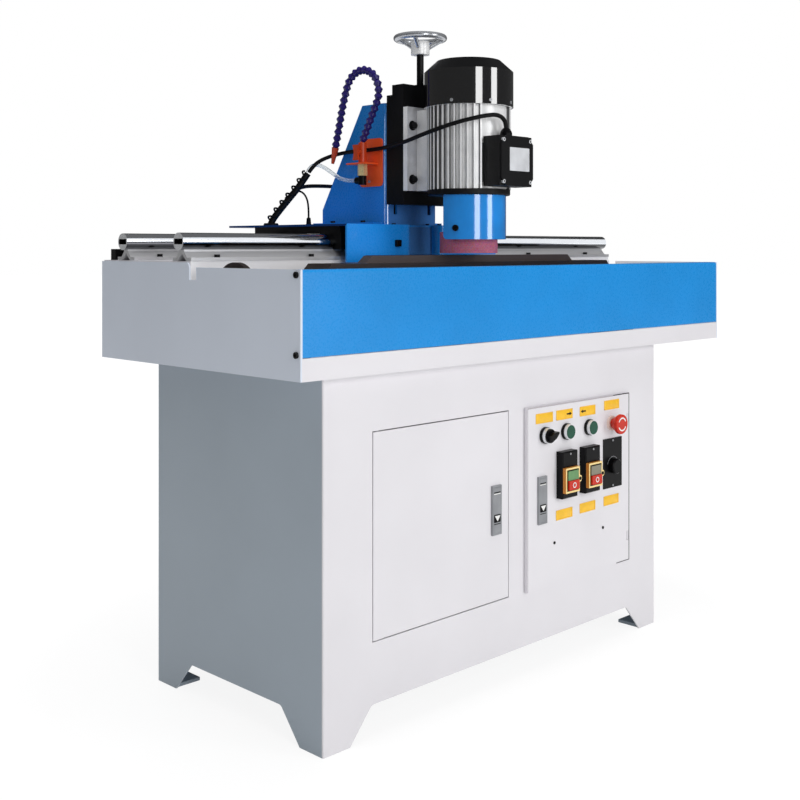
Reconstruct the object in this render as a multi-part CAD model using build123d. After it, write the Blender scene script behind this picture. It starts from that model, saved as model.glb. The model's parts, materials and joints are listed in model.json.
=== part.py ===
from build123d import *
import math
import os

# Knife grinding machine. Millimetres, +X to the operator's right, +Y to the rear, +Z up.
# The origin is on the floor, in the middle of the four anchor holes.

# Clearances
RUNNING = 0.05
SLIDING = 0.1
FREE = 0.3
DOOR_GAP = 2

# Cabinet
DOOR_SILL = 153
DOOR_HEIGHT = 338
HEAD_RAIL = 93
DOOR_MARGIN = 104
LEFT_OPENING = 339
CENTRE_POST = 43
CABINET_DEPTH = 454
CABINET_SHEET = 3
CORNER_ROUND = 2.5
FOOT_WIDTH = 56
FOOT_SLANT = 47
FOOT_HEIGHT = 54
FOOT_ROUND = 10
FOOT_PLATE = 6
FOOT_PLATE_SIDE = 50
ANCHOR_HOLE = 12
ANCHOR_INSET = 30
SHELF_DROP = 17

# Doors
DOOR_SHEET = 2
DOOR_RETURN = 15
DOOR_PROUD = 8
DOOR_OVERLAP = 15
PIVOT_INSET = 14
PIVOT_DEPTH = 7
PIVOT_PIN = 6
PIVOT_REACH = 8
PIVOT_BLOCK = 8
BARREL_RADIUS = 3.5
BARREL_INSET = 2.5
BARREL_LENGTH = 18
BARREL_PIN = 3
BARREL_GAP = 0.5
HINGE_INSET = 50
LATCH_WIDTH = 25
LATCH_HEIGHT = 88
LATCH_PROUD = 4
LATCH_RIM = 3
LATCH_MARGIN_LEFT = 24
LATCH_MARGIN_RIGHT = 29
LATCH_DROP = 5
PADDLE_THICKNESS = 2.6

# Controls on the right door
CONTROL_FIRST = 51
SELECTOR_PITCH = 65
SWITCH_PITCH = 72.5
STOP_PITCH = 74.5
CONTROL_END = 63
CONTROL_DROP = 55
SWITCH_WIDTH = 47
SWITCH_SHIFT = -6
SWITCH_HEIGHT = 88
SWITCH_DEPTH = 15.5
SWITCH_DROP = 134
FRAME_WIDTH = 43
FRAME_HEIGHT = 47
FRAME_DEPTH = 7
FRAME_RIM = 5.5
FRAME_LIFT = 11.5
FRAME_SHIFT = -2
EAR_RADIUS = 6.5
KEY_PROUD = 1.5
LOWER_KEY_PROUD = 4
KEY_TRAVEL = 3
CONTROL_HOLE = 22.4
BEZEL_RADIUS = 14.5
BEZEL_PROUD = 12
BEZEL_FOOT = 15.5
BEZEL_FOOT_PROUD = 6
BARREL_WALL = 1.2
CONTACT_SIDE = 30
CONTACT_DEPTH = 34
BUTTON_PROUD = 1
BUTTON_RADIUS = 12.8
BUTTON_HEAD = 4
KNOB_RADIUS = 13
KNOB_PROUD = 12
LEVER_WIDTH = 12
LEVER_LENGTH = 15
LEVER_TIP = 3
LEVER_ANGLE = 25
STOP_RADIUS = 19.5
STOP_NECK = 13.5
STOP_FLARE = 17
STOP_COLLAR = 5
STOP_GAP = 6
STOP_HEAD = 8
SPEED_WIDTH = 62
SPEED_HEIGHT = 98
SPEED_PLATE = 2
SPEED_SHIFT = 3.5
SPEED_KNOB_RADIUS = 15
SPEED_KNOB_HEIGHT = 12
SPEED_KNOB_DROP = 6
SPEED_SHAFT = 3

# Coolant tray
TRAY_LENGTH = 1200
LEFT_OVERHANG = 60
FRONT_OVERHANG = 18
TRAY_SHEET = 3
LIP_HEIGHT = 35
END_HEIGHT = 168
END_STEP = 8
END_SLOPE = 5
END_FLANGE = 4
END_NOTCH_WIDTH = 20
END_NOTCH_DEPTH = 21
TROUGH_DEPTH = 288
COVER_GAP = 1
COVER_FLANGE = 18
COVER_BEND = 4
END_SCREW_RADIUS = 5
END_SCREW_HEAD = 3
END_SCREW_INSET = 9

# Rail bed, rails and rack
BED_HEIGHT = 178
BED_SHEET = 4
RAIL_INSET = 26
RAIL_SPACING = 175
REAR_MARGIN = 74
RAIL_DIAMETER = 30
RAIL_RISE = 33
RAIL_OVERHANG = 4
RAIL_SLOT_WIDTH = 24
RAIL_SLOT_HEIGHT = 9.5
RAIL_SLOT_DEPTH = 10
SUPPORT_WIDTH = 55
SUPPORT_FOOT = 6
SUPPORT_LEG = 15
SUPPORT_NECK = 13
SUPPORT_NECK_HEIGHT = 16
SUPPORT_ARCH = 13
RAIL_SCREW_PITCH = 210
RAIL_SCREW_FIRST = 60
SCREW_HEAD_RADIUS = 5
SCREW_HEAD = 5
SCREW_SHANK = 3
SCREW_SOCKET = 2.5
RACK_MODULE = 2
RACK_WIDTH = 20
RACK_HEIGHT = 20
RACK_GAP = 8
TOOTH_ANGLE = 20
BACKLASH = 0.2

# Carriage
CARRIAGE_REST = 541
CARRIAGE_LENGTH = 422
BLOCK_LENGTH = 65
BLOCK_WIDTH = 60
BLOCK_RISE = 18
BLOCK_SKIRT = 14
BLOCK_SLOT = 17
BLOCK_END = 5
BASE_THICKNESS = 12
BASE_REAR = 56
COVER_SHEET = 4
COVER_REAR = 136
APRON_REACH = 52
APRON_SETBACK = 21
APRON_LENGTH = 175
APRON_DROP = 59
APRON_BEND = 16
APRON_INNER_BEND = 4
APRON_TAB = 60
APRON_TAB_DROP = 13

# Column and vertical slide
COLUMN_WIDTH = 143
COLUMN_HEIGHT = 239
COLUMN_SHEET = 5
COLUMN_BEND = 6
COLUMN_ADVANCE = 14
COLUMN_FOOT = 26
GUSSET_DEPTH = 191
GUSSET_TOP = 70
GUSSET_HEEL = 33
COLUMN_SLOT_PITCH = 96
COLUMN_SLOT_WIDTH = 9
COLUMN_SLOT_LOW = 21
COLUMN_SLOT_HIGH = 30
SLIDE_BASE = 15
SLIDE_HEIGHT = 213
SLIDE_LIFT = 1
SADDLE_RISE = 39
SADDLE_THICKNESS = 31
SADDLE_CAP = 15
CAP_GAP = 4
DOVETAIL_HEIGHT = 14
DOVETAIL_ROOT = 36
DOVETAIL_SPREAD = 8
SCREW_GROOVE = 26
FEED_SCREW = 14
FEED_COLLAR = 11
FEED_COLLAR_HEIGHT = 6
NUT_HEIGHT = 30
NUT_LIFT = 110
SCREW_TAIL = 30

# Handwheel
STEM_HEIGHT = 66
WHEEL_RIM_RADIUS = 47
WHEEL_RIM_TUBE = 6.3
HUB_RADIUS = 18.5
HUB_HEIGHT = 26
HUB_DROP = 20
SPOKE_COUNT = 3
SPOKE_RADIUS = 4.5

# Grinding motor
MOTOR_REACH = 105
HOUSING_RISE = 26
HOUSING_HEIGHT = 162
HOUSING_RADIUS = 72
HOUSING_WALL = 8
HOUSING_END = 10
FIN_COUNT = 40
FIN_REAR_GAP = 42
FIN_FRONT_GAP = 28
FIN_HEIGHT = 8
FIN_WIDTH = 3
PAD_THICKNESS = 11
PAD_WEB = 90
BOSS_WIDTH = 72
BOSS_HEIGHT = 72
BOSS_RISE = 12
BOSS_PROUD = 1
FLANGE_THICKNESS = 11
FLANGE_RADIUS = 79
STATOR_WALL = 20
STATOR_HEIGHT = 90
AIR_GAP = 0.6
SHAFT_RADIUS = 12
BEARING_RADIUS = 26
BEARING_HEIGHT = 15
BEARING_SEAT = 8
FAN_COVER_RADIUS = 85
FAN_COVER_WALL = 2
FAN_COVER_LAP = 6
FAN_COVER_HEIGHT = 67
FAN_COVER_TAPER = 22
FAN_COVER_TOP = 61
FAN_SLOTS = 16
FAN_SLOT_WIDTH = 4
FAN_RADIUS = 62
FAN_HEIGHT = 26
FAN_BLADES = 7
FAN_BLADE = 3
FAN_LIFT = 14
MOTOR_BOLT_RADIUS = 7
MOTOR_BOLT_HEAD = 8
MOTOR_BOLT_INSET = 14
MOTOR_BOLT_LOW = 22
MOTOR_BOLT_SHANK = 4.5
MOTOR_BOLT_REACH = 20

# Terminal box
BOX_WIDTH = 91
BOX_HEIGHT = 92
BOX_DEPTH = 44
BOX_RISE = 3.5
BOX_SHIFT = 4
BOX_WALL = 3
LID_DEPTH = 8
LID_CORNER = 14
LID_SCREW = 3
LID_SCREW_INSET = 8
GLAND_RADIUS = 9
GLAND_HEIGHT = 12
GLAND_SHIFT = 2

# Guard and wheel
WHEEL_RADIUS = 55
WHEEL_HEIGHT = 40
WHEEL_RIM = 22
WHEEL_CUP = 24
WHEEL_SHOW = 26
GUARD_GAP = 13.5
GUARD_SHEET = 2.5
GUARD_HEIGHT = 83
GUARD_LIP = 22
GUARD_ROUND = 8
HUB_FLANGE_RADIUS = 24
WHEEL_BORE = 16
NUT_RADIUS = 20

# Knife table
TABLE_SHIFT = 38
TABLE_GAP = 4
TABLE_END_ROOM = 180
TABLE_HALF = 32
TABLE_DROP = 36
TABLE_SEAT = 48
TABLE_CHAMFER = 20
CLAMP_INSET = 134
CLAMP_WIDTH = 24
CLAMP_THICKNESS = 13
CLAMP_END_RUN = 16
TRUNNION_RADIUS = 15
DISC_RADIUS = 52
DISC_THICKNESS = 10
DISC_GAP = 14
BRACKET_THICKNESS = 24
BRACKET_WIDTH = 90
BRACKET_CROWN_RADIUS = 32
BRACKET_GAP = 40
BRACKET_FOOT = 8
BRACKET_FOOT_LENGTH = 70

# Travel drive on the carriage
PINION_TEETH = 20
PINION_FACE = 15
PINION_LIFT = 3
PINION_SHIFT = 139
PINION_SHAFT = 6
GEARBOX_SIDE = 70
GEARBOX_HEIGHT = 48
DRIVE_RADIUS = 33
DRIVE_HEIGHT = 106
DRIVE_GLAND = 7
DRIVE_GLAND_LENGTH = 12
DRIVE_GLAND_RISE = 36

# Coolant tap and hose
BRACKET_SHEET = 3
TAP_BRACKET_WIDTH = 64
TAP_BRACKET_HEIGHT = 95
TAP_BRACKET_RISE = 76
TAP_BRACKET_SETBACK = 4
SHELF_REACH = 40
SHELF_WIDTH = 52
SHELF_RISE = 43
TAP_REACH = 23
TAP_SETBACK = 45
TAP_RADIUS = 8
TAP_HEIGHT = 40
BRASS_RADIUS = 10
BRASS_HEIGHT = 22
ELBOW_RADIUS = 8
ELBOW_HEIGHT = 18
ELBOW_REACH = 17
LEVER_PLATE = 4
LEVER_HEIGHT = 30
LEVER_STEM = 5
LEVER_STEM_LENGTH = 7
BEAD_COUNT = 28
BEAD_RADIUS = 8.5
BEAD_NECK = 5
BEAD_GAP = 0.5
HOSE_RISE = 148
HOSE_REACH = 80
HOSE_LEAN = 50
NOZZLE_LENGTH = 33
NOZZLE_TIP = 3

# Inside the cabinet
TANK_LENGTH = 300
TANK_DEPTH = 250
TANK_HEIGHT = 170
TANK_WALL = 3
TANK_INSET = 25
TANK_SETBACK = 90
PUMP_PLATE = 5
PUMP_PLATE_LENGTH = 110
PUMP_RADIUS = 42
PUMP_HEIGHT = 110
PUMP_STEM = 25
PUMP_REACH = 120
GEAR_PLATE = 2
GEAR_PLATE_LENGTH = 280
GEAR_PLATE_HEIGHT = 300
GEAR_PLATE_RISE = 40
CONTACTOR_WIDTH = 45
CONTACTOR_HEIGHT = 76
CONTACTOR_DEPTH = 80
CONTACTOR_COUNT = 4
CONTACTOR_PITCH = 60
STRIP_HEIGHT = 42
STRIP_DEPTH = 45

# Cables and tube, diameters
MOTOR_CABLE = 8
TRAVEL_CABLE = 8
SENSOR_WIRE = 4
COOLANT_TUBE = 8
BUNDLE = 20
BUNDLE_HOLE = 24
WIRE_HOLE = 6

# Places worked out from the sizes above
CONTROL_RUN = SELECTOR_PITCH + SWITCH_PITCH + STOP_PITCH
RIGHT_DOOR_WIDTH = CONTROL_FIRST + CONTROL_RUN + CONTROL_END
CABINET_LENGTH = 2 * DOOR_MARGIN + LEFT_OPENING + CENTRE_POST + RIGHT_DOOR_WIDTH
CABINET_HEIGHT = DOOR_SILL + DOOR_HEIGHT + HEAD_RAIL
CABINET_FRONT = -CABINET_DEPTH / 2
CABINET_BACK = CABINET_DEPTH / 2
CABINET_LEFT = -CABINET_LENGTH / 2
CABINET_RIGHT = CABINET_LENGTH / 2
DOOR_TOP = DOOR_SILL + DOOR_HEIGHT
LEFT_DOOR_START = CABINET_LEFT + DOOR_MARGIN
LEFT_DOOR_END = LEFT_DOOR_START + LEFT_OPENING
RIGHT_DOOR_END = CABINET_RIGHT - DOOR_MARGIN
RIGHT_DOOR_START = RIGHT_DOOR_END - RIGHT_DOOR_WIDTH
RIGHT_DOOR_FACE = CABINET_FRONT - DOOR_PROUD
SHELF_Z = DOOR_SILL - SHELF_DROP
PARTITION_X = LEFT_DOOR_END + CENTRE_POST / 2

TRAY_LEFT = CABINET_LEFT - LEFT_OVERHANG
TRAY_RIGHT = TRAY_LEFT + TRAY_LENGTH
TRAY_FRONT = CABINET_FRONT - FRONT_OVERHANG
TRAY_Z = CABINET_HEIGHT
TRAY_FLOOR = TRAY_Z + TRAY_SHEET
BED_DEPTH = RAIL_INSET + RAIL_SPACING + REAR_MARGIN
BED_FRONT = TRAY_FRONT + TROUGH_DEPTH
BED_BACK = BED_FRONT + BED_DEPTH
TRAY_BACK = BED_BACK + TRAY_SHEET
BED_TOP = TRAY_Z + BED_HEIGHT
BED_LEFT = TRAY_LEFT + TRAY_SHEET
BED_RIGHT = TRAY_RIGHT - TRAY_SHEET
END_TOP = TRAY_Z + END_HEIGHT
LIP_TOP = TRAY_Z + LIP_HEIGHT

FRONT_RAIL_Y = BED_FRONT + RAIL_INSET
REAR_RAIL_Y = FRONT_RAIL_Y + RAIL_SPACING
RAIL_Z = BED_TOP + RAIL_RISE
RAIL_RADIUS = RAIL_DIAMETER / 2
RACK_FRONT = REAR_RAIL_Y + SUPPORT_WIDTH / 2 + RACK_GAP
RACK_TIP = RACK_FRONT + RACK_WIDTH
PITCH_RADIUS = RACK_MODULE * PINION_TEETH / 2

CARRIAGE_X = TRAY_LEFT + CARRIAGE_REST
CARRIAGE_LEFT = CARRIAGE_X - CARRIAGE_LENGTH / 2
CARRIAGE_RIGHT = CARRIAGE_X + CARRIAGE_LENGTH / 2
BASE_BOTTOM = RAIL_Z + BLOCK_RISE
COVER_BOTTOM = BASE_BOTTOM + BASE_THICKNESS
COVER_TOP = COVER_BOTTOM + COVER_SHEET
APRON_FRONT = FRONT_RAIL_Y - APRON_REACH
SKIRT_FRONT = APRON_FRONT + APRON_SETBACK
APRON_BOTTOM = COVER_TOP - APRON_DROP
PINION_X = CARRIAGE_X + PINION_SHIFT
PINION_Y = RACK_TIP - RACK_MODULE + PITCH_RADIUS
PINION_Z = BED_TOP + PINION_LIFT

COLUMN_FRONT = FRONT_RAIL_Y - COLUMN_ADVANCE
COLUMN_LEFT = CARRIAGE_X - COLUMN_WIDTH / 2
COLUMN_RIGHT = CARRIAGE_X + COLUMN_WIDTH / 2
COLUMN_TOP = COVER_TOP + COLUMN_HEIGHT
SLIDE_FRONT = COLUMN_FRONT - SLIDE_BASE
SADDLE_HEIGHT = SLIDE_LIFT + SLIDE_HEIGHT + CAP_GAP + SADDLE_CAP
SADDLE_BOTTOM = COVER_TOP + SADDLE_RISE
SADDLE_TOP = SADDLE_BOTTOM + SADDLE_HEIGHT
SADDLE_FRONT = SLIDE_FRONT - SADDLE_THICKNESS
SLIDE_BOTTOM = SADDLE_BOTTOM + SLIDE_LIFT
SLIDE_TOP = SLIDE_BOTTOM + SLIDE_HEIGHT
FEED_Y = SLIDE_FRONT - DOVETAIL_HEIGHT / 2
STEM_TOP = SADDLE_TOP + STEM_HEIGHT
RIM_Z = STEM_TOP + HUB_HEIGHT / 2 + HUB_DROP

MOTOR_Y = SADDLE_FRONT - MOTOR_REACH
HOUSING_BOTTOM = SADDLE_BOTTOM + HOUSING_RISE
HOUSING_TOP = HOUSING_BOTTOM + HOUSING_HEIGHT
HOUSING_BORE = HOUSING_RADIUS - HOUSING_WALL
STATOR_BORE = HOUSING_BORE - STATOR_WALL
STATOR_BOTTOM = HOUSING_BOTTOM + (HOUSING_HEIGHT - HOUSING_END - STATOR_HEIGHT) / 2
FLANGE_BOTTOM = HOUSING_BOTTOM - FLANGE_THICKNESS
BOSS_FACE = MOTOR_Y - HOUSING_RADIUS - BOSS_PROUD
BOX_X = CARRIAGE_X + BOX_SHIFT
BOX_BACK = BOSS_FACE
BOX_FRONT = BOX_BACK - BOX_DEPTH
BOX_BOTTOM = HOUSING_BOTTOM + BOX_RISE
BOX_TOP = BOX_BOTTOM + BOX_HEIGHT
GUARD_RADIUS = WHEEL_RADIUS + GUARD_GAP + GUARD_SHEET
GUARD_BOTTOM = FLANGE_BOTTOM - GUARD_HEIGHT
WHEEL_BOTTOM = GUARD_BOTTOM - WHEEL_SHOW
WHEEL_TOP = WHEEL_BOTTOM + WHEEL_HEIGHT
FAN_COVER_BOTTOM = HOUSING_TOP - FAN_COVER_LAP
FAN_COVER_SHOULDER = FAN_COVER_BOTTOM + FAN_COVER_HEIGHT
FAN_COVER_Z = FAN_COVER_SHOULDER + FAN_COVER_TAPER

TABLE_Y = MOTOR_Y + TABLE_SHIFT
TABLE_Z = WHEEL_BOTTOM - TABLE_GAP - CLAMP_THICKNESS - TABLE_SEAT
TABLE_LEFT = TRAY_LEFT + TABLE_END_ROOM
TABLE_RIGHT = TRAY_RIGHT - TABLE_END_ROOM

TAP_X = COLUMN_LEFT - TAP_REACH
TAP_Y = COLUMN_FRONT + TAP_SETBACK
TAP_SHELF_Z = COVER_TOP + TAP_BRACKET_RISE + SHELF_RISE
TANK_LEFT = CABINET_LEFT + CABINET_SHEET + TANK_INSET
TANK_FRONT = CABINET_FRONT + TANK_SETBACK
SHELF_TOP = SHELF_Z + CABINET_SHEET


# Basic shapes placed by their limits

def block(x0, x1, y0, y1, z0, z1):
    """Box between two corners."""
    centre = Pos((x0 + x1) / 2, (y0 + y1) / 2, (z0 + z1) / 2)
    return centre * Box(x1 - x0, y1 - y0, z1 - z0)


def rod_x(y, z, x0, x1, radius):
    """Round bar along X."""
    return Pos((x0 + x1) / 2, y, z) * Rot(0, 90, 0) * Cylinder(radius, x1 - x0)


def rod_y(x, z, y0, y1, radius):
    """Round bar along Y."""
    return Pos(x, (y0 + y1) / 2, z) * Rot(90, 0, 0) * Cylinder(radius, y1 - y0)


def rod_z(x, y, z0, z1, radius):
    """Round bar along Z."""
    return Pos(x, y, (z0 + z1) / 2) * Cylinder(radius, z1 - z0)


def prism_x(points, x0, x1):
    """Outline in Y and Z, carried along X."""
    face = make_face(Plane.YZ * Polyline(*points, close=True))
    return Pos(x0, 0, 0) * extrude(face, amount=x1 - x0, dir=(1, 0, 0))


def prism_y(points, y0, y1):
    """Outline in X and Z, carried along Y."""
    face = make_face(Plane.XZ * Polyline(*points, close=True))
    return Pos(0, y0, 0) * extrude(face, amount=y1 - y0, dir=(0, 1, 0))


def prism_z(points, z0, z1):
    """Outline in X and Y, carried along Z."""
    face = make_face(Plane.XY * Polyline(*points, close=True))
    return Pos(0, 0, z0) * extrude(face, amount=z1 - z0, dir=(0, 0, 1))


def turned(points, x, y):
    """Outline of radius and height, turned about a vertical axis at x, y."""
    face = make_face(Plane.XZ * Polyline(*points, close=True))
    return Pos(x, y, 0) * revolve(face, Axis.Z, 360)


def bent_sheet(path, sheet, z0, z1):
    """Sheet that stands on edge along a path in X and Y."""
    return Pos(0, 0, z0) * extrude(trace(path, sheet), amount=z1 - z0, dir=(0, 0, 1))


def solids_of(*shapes):
    """One group of separate solids."""
    group = []
    for shape in shapes:
        group.extend(shape.solids())
    return Compound(group)


# Cabinet

def footed_outline(length, trim):
    """Panel outline about its middle, with a notch between two feet."""
    half = length / 2
    heel = half - FOOT_WIDTH
    crown = heel - FOOT_SLANT
    edge = half - trim
    return [
        (-edge, 0), (-heel, 0), (-crown, FOOT_HEIGHT), (crown, FOOT_HEIGHT), (heel, 0), (edge, 0),
        (edge, CABINET_HEIGHT), (-edge, CABINET_HEIGHT),
    ]


def round_notch(panel, axis):
    """Rounds the two upper corners of a foot notch."""
    corners = panel.edges().filter_by(axis).filter_by_position(
        Axis.Z, FOOT_HEIGHT - SLIDING, FOOT_HEIGHT + SLIDING)
    return fillet(corners, FOOT_ROUND)


def cabinet_front():
    panel = prism_y(footed_outline(CABINET_LENGTH, 0), CABINET_FRONT, CABINET_FRONT + CABINET_SHEET)
    panel = round_notch(panel, Axis.Y)
    outer = panel.edges().filter_by(Axis.Z).group_by(Axis.Y)[0]
    panel = fillet(outer, CORNER_ROUND)
    deep = (CABINET_FRONT - CABINET_SHEET, CABINET_FRONT + 2 * CABINET_SHEET)
    panel -= block(LEFT_DOOR_START, LEFT_DOOR_END, *deep, DOOR_SILL, DOOR_TOP)
    panel -= block(RIGHT_DOOR_START + DOOR_OVERLAP, RIGHT_DOOR_END - DOOR_OVERLAP, *deep,
                   DOOR_SILL + DOOR_OVERLAP, DOOR_TOP - DOOR_OVERLAP)
    return panel


def foot_plate(side_x, side_y):
    """Welded plate with an anchor hole, in one corner of the cabinet."""
    corner_x = side_x * (CABINET_LENGTH / 2 - CABINET_SHEET)
    corner_y = side_y * (CABINET_DEPTH / 2 - CABINET_SHEET)
    inner_x = corner_x - side_x * FOOT_PLATE_SIDE
    inner_y = corner_y - side_y * FOOT_PLATE_SIDE
    plate = block(min(corner_x, inner_x), max(corner_x, inner_x),
                  min(corner_y, inner_y), max(corner_y, inner_y), 0, FOOT_PLATE)
    hole_x = side_x * (CABINET_LENGTH / 2 - ANCHOR_INSET)
    hole_y = side_y * (CABINET_DEPTH / 2 - ANCHOR_INSET)
    return plate - rod_z(hole_x, hole_y, -FOOT_PLATE, 2 * FOOT_PLATE, ANCHOR_HOLE / 2)


def cabinet_panels():
    """Back panel, side panels and welded foot plates."""
    back = prism_y(footed_outline(CABINET_LENGTH, 0), CABINET_BACK - CABINET_SHEET, CABINET_BACK)
    outline = footed_outline(CABINET_DEPTH, CABINET_SHEET)
    left = prism_x(outline, CABINET_LEFT, CABINET_LEFT + CABINET_SHEET)
    right = prism_x(outline, CABINET_RIGHT - CABINET_SHEET, CABINET_RIGHT)
    plates = [foot_plate(sx, sy) for sx in (-1, 1) for sy in (-1, 1)]
    return solids_of(round_notch(back, Axis.Y), round_notch(left, Axis.X),
                     round_notch(right, Axis.X), *plates)


def cabinet_shelf():
    """Floor of the bays and the wall between them."""
    front = CABINET_FRONT + CABINET_SHEET
    back = CABINET_BACK - CABINET_SHEET
    shelf = block(CABINET_LEFT + CABINET_SHEET, CABINET_RIGHT - CABINET_SHEET, front, back,
                  SHELF_Z, SHELF_TOP)
    wall = block(PARTITION_X - CABINET_SHEET / 2, PARTITION_X + CABINET_SHEET / 2, front, back,
                 SHELF_TOP, CABINET_HEIGHT)
    return solids_of(shelf, wall)


# Doors and latches

def left_pivot():
    """Place of the left door's pivot pins."""
    return LEFT_DOOR_START + DOOR_GAP + PIVOT_INSET, CABINET_FRONT + PIVOT_DEPTH


def right_pivot():
    """Place of the right door's hinge pins."""
    return RIGHT_DOOR_END - BARREL_INSET, CABINET_FRONT - BARREL_RADIUS - BARREL_GAP


def hinge_heights():
    """Middle heights of the right door's two hinges."""
    return DOOR_SILL + HINGE_INSET, DOOR_TOP - HINGE_INSET


def left_hinge(low, direction):
    """Bracket behind the front panel with a pin that points up or down into the door."""
    x, y = left_pivot()
    wall = CABINET_FRONT + CABINET_SHEET
    high = low + PIVOT_BLOCK
    bracket = block(x - PIVOT_INSET, x + PIVOT_INSET, wall, wall + PIVOT_INSET, low, high)
    if direction > 0:
        return bracket + rod_z(x, y, low, high + PIVOT_REACH, PIVOT_PIN / 2)
    return bracket + rod_z(x, y, low - PIVOT_REACH, high, PIVOT_PIN / 2)


def right_hinge(middle):
    """Leaf on the cabinet face with its knuckle and pin."""
    x, y = right_pivot()
    half = BARREL_LENGTH / 2
    leaf = block(x - DOOR_OVERLAP + BARREL_RADIUS, x, CABINET_FRONT - DOOR_SHEET, CABINET_FRONT,
                 middle - half, middle + half)
    knuckle = rod_z(x, y, middle - half, middle + half, BARREL_RADIUS)
    pin = rod_z(x, y, middle - half - BARREL_LENGTH, middle + half + BARREL_LENGTH, BARREL_PIN / 2)
    return leaf + knuckle + pin


def door_hinges():
    """Cabinet side of the hinges, with their pins."""
    lower = left_hinge(DOOR_SILL - PIVOT_BLOCK, 1)
    upper = left_hinge(DOOR_TOP, -1)
    return solids_of(lower, upper, *[right_hinge(middle) for middle in hinge_heights()])


def latch_frame(x0, low, face):
    """Raised latch body on a door face, with a pocket for the paddle."""
    frame = block(x0, x0 + LATCH_WIDTH, face - LATCH_PROUD, face, low, low + LATCH_HEIGHT)
    pocket = block(x0 + LATCH_RIM, x0 + LATCH_WIDTH - LATCH_RIM,
                   face - 2 * LATCH_PROUD, face - LATCH_PROUD + PADDLE_THICKNESS + FREE,
                   low + LATCH_RIM, low + LATCH_HEIGHT - LATCH_RIM)
    return frame - pocket


def latch_paddle(x0, low, face):
    """Paddle that lies flush in the latch and turns about its round upper edge."""
    half = PADDLE_THICKNESS / 2
    middle = face - LATCH_PROUD + half
    left = x0 + LATCH_RIM + FREE
    right = x0 + LATCH_WIDTH - LATCH_RIM - FREE
    pivot = low + LATCH_HEIGHT - LATCH_RIM - FREE - half
    plate = block(left, right, middle - half, middle + half, low + LATCH_RIM + FREE, pivot)
    edge = rod_x(middle, pivot, left, right, half)
    return plate + edge


def latch_low():
    """Lower edge of both latches."""
    return DOOR_SILL + DOOR_HEIGHT / 2 - LATCH_DROP - LATCH_HEIGHT / 2


def left_latch_x():
    return LEFT_DOOR_END - LATCH_MARGIN_LEFT - LATCH_WIDTH


def right_latch_x():
    return RIGHT_DOOR_START + LATCH_MARGIN_RIGHT


def left_door():
    """Flush pan with holes for its pivot pins, and the latch body on it."""
    x0 = LEFT_DOOR_START + DOOR_GAP
    x1 = LEFT_DOOR_END - DOOR_GAP
    low = DOOR_SILL + DOOR_GAP
    high = DOOR_TOP - DOOR_GAP
    pan = block(x0, x1, CABINET_FRONT, CABINET_FRONT + DOOR_RETURN, low, high)
    pan -= block(x0 + DOOR_SHEET, x1 - DOOR_SHEET, CABINET_FRONT + DOOR_SHEET,
                 CABINET_FRONT + 2 * DOOR_RETURN, low + DOOR_SHEET, high - DOOR_SHEET)
    x, y = left_pivot()
    pan -= rod_z(x, y, DOOR_SILL, DOOR_TOP, PIVOT_PIN / 2 + RUNNING)
    return solids_of(pan, latch_frame(left_latch_x(), latch_low(), CABINET_FRONT))


def control_x(column):
    """Place along the control row."""
    steps = [CONTROL_FIRST, SELECTOR_PITCH, SWITCH_PITCH, STOP_PITCH]
    return RIGHT_DOOR_START + sum(steps[:column + 1])


def switch_x(column):
    """Middle of the switch body under a push button."""
    return control_x(column) + SWITCH_SHIFT


def frame_x(column):
    """Middle of the key frame on a switch body."""
    return switch_x(column) + FRAME_SHIFT


def control_z():
    return DOOR_TOP - CONTROL_DROP


def switch_z():
    return DOOR_TOP - SWITCH_DROP


def speed_x():
    return control_x(3) + SPEED_SHIFT


def speed_knob_z():
    return switch_z() - SPEED_KNOB_DROP


def right_door():
    """Proud pan with knuckles, holes for the controls, and the latch body on it."""
    rear = CABINET_FRONT - BARREL_GAP * 2
    inside = RIGHT_DOOR_FACE + DOOR_SHEET
    pan = block(RIGHT_DOOR_START, RIGHT_DOOR_END, RIGHT_DOOR_FACE, rear, DOOR_SILL, DOOR_TOP)
    x, y = right_pivot()
    hinge_edge = x - 2 * BARREL_RADIUS
    pan -= block(RIGHT_DOOR_START + DOOR_SHEET, RIGHT_DOOR_END + DOOR_SHEET, inside, CABINET_FRONT,
                 DOOR_SILL + DOOR_SHEET, DOOR_TOP - DOOR_SHEET)
    pan -= block(hinge_edge, RIGHT_DOOR_END + DOOR_SHEET, inside, CABINET_FRONT,
                 DOOR_SILL - DOOR_SHEET, DOOR_TOP + DOOR_SHEET)
    notch = BARREL_LENGTH / 2 + FREE
    for middle in hinge_heights():
        for side in (-1, 1):
            pan += rod_z(x, y, middle + side * BARREL_LENGTH - BARREL_LENGTH / 2,
                         middle + side * BARREL_LENGTH + BARREL_LENGTH / 2, BARREL_RADIUS)
        pan -= block(hinge_edge, x + 2 * BARREL_RADIUS, RIGHT_DOOR_FACE - DOOR_SHEET, CABINET_FRONT,
                     middle - notch, middle + notch)
        pan -= rod_z(x, y, middle - 2 * BARREL_LENGTH, middle + 2 * BARREL_LENGTH,
                     BARREL_PIN / 2 + RUNNING)
    for column in range(4):
        pan -= rod_y(control_x(column), control_z(), RIGHT_DOOR_FACE - DOOR_SHEET, CABINET_FRONT,
                     CONTROL_HOLE / 2)
    pan -= rod_y(speed_x(), speed_knob_z(), RIGHT_DOOR_FACE - DOOR_SHEET, CABINET_FRONT,
                 SPEED_SHAFT + FREE)
    return solids_of(pan, latch_frame(right_latch_x(), latch_low(), RIGHT_DOOR_FACE))


# Controls on the right door

def barrel_bore():
    """Inner radius of a control's barrel."""
    return CONTROL_HOLE / 2 - FREE - BARREL_WALL


def barrel_back():
    """Rear end of a control's barrel, behind the door sheet."""
    return RIGHT_DOOR_FACE + DOOR_SHEET + KNOB_PROUD


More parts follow.
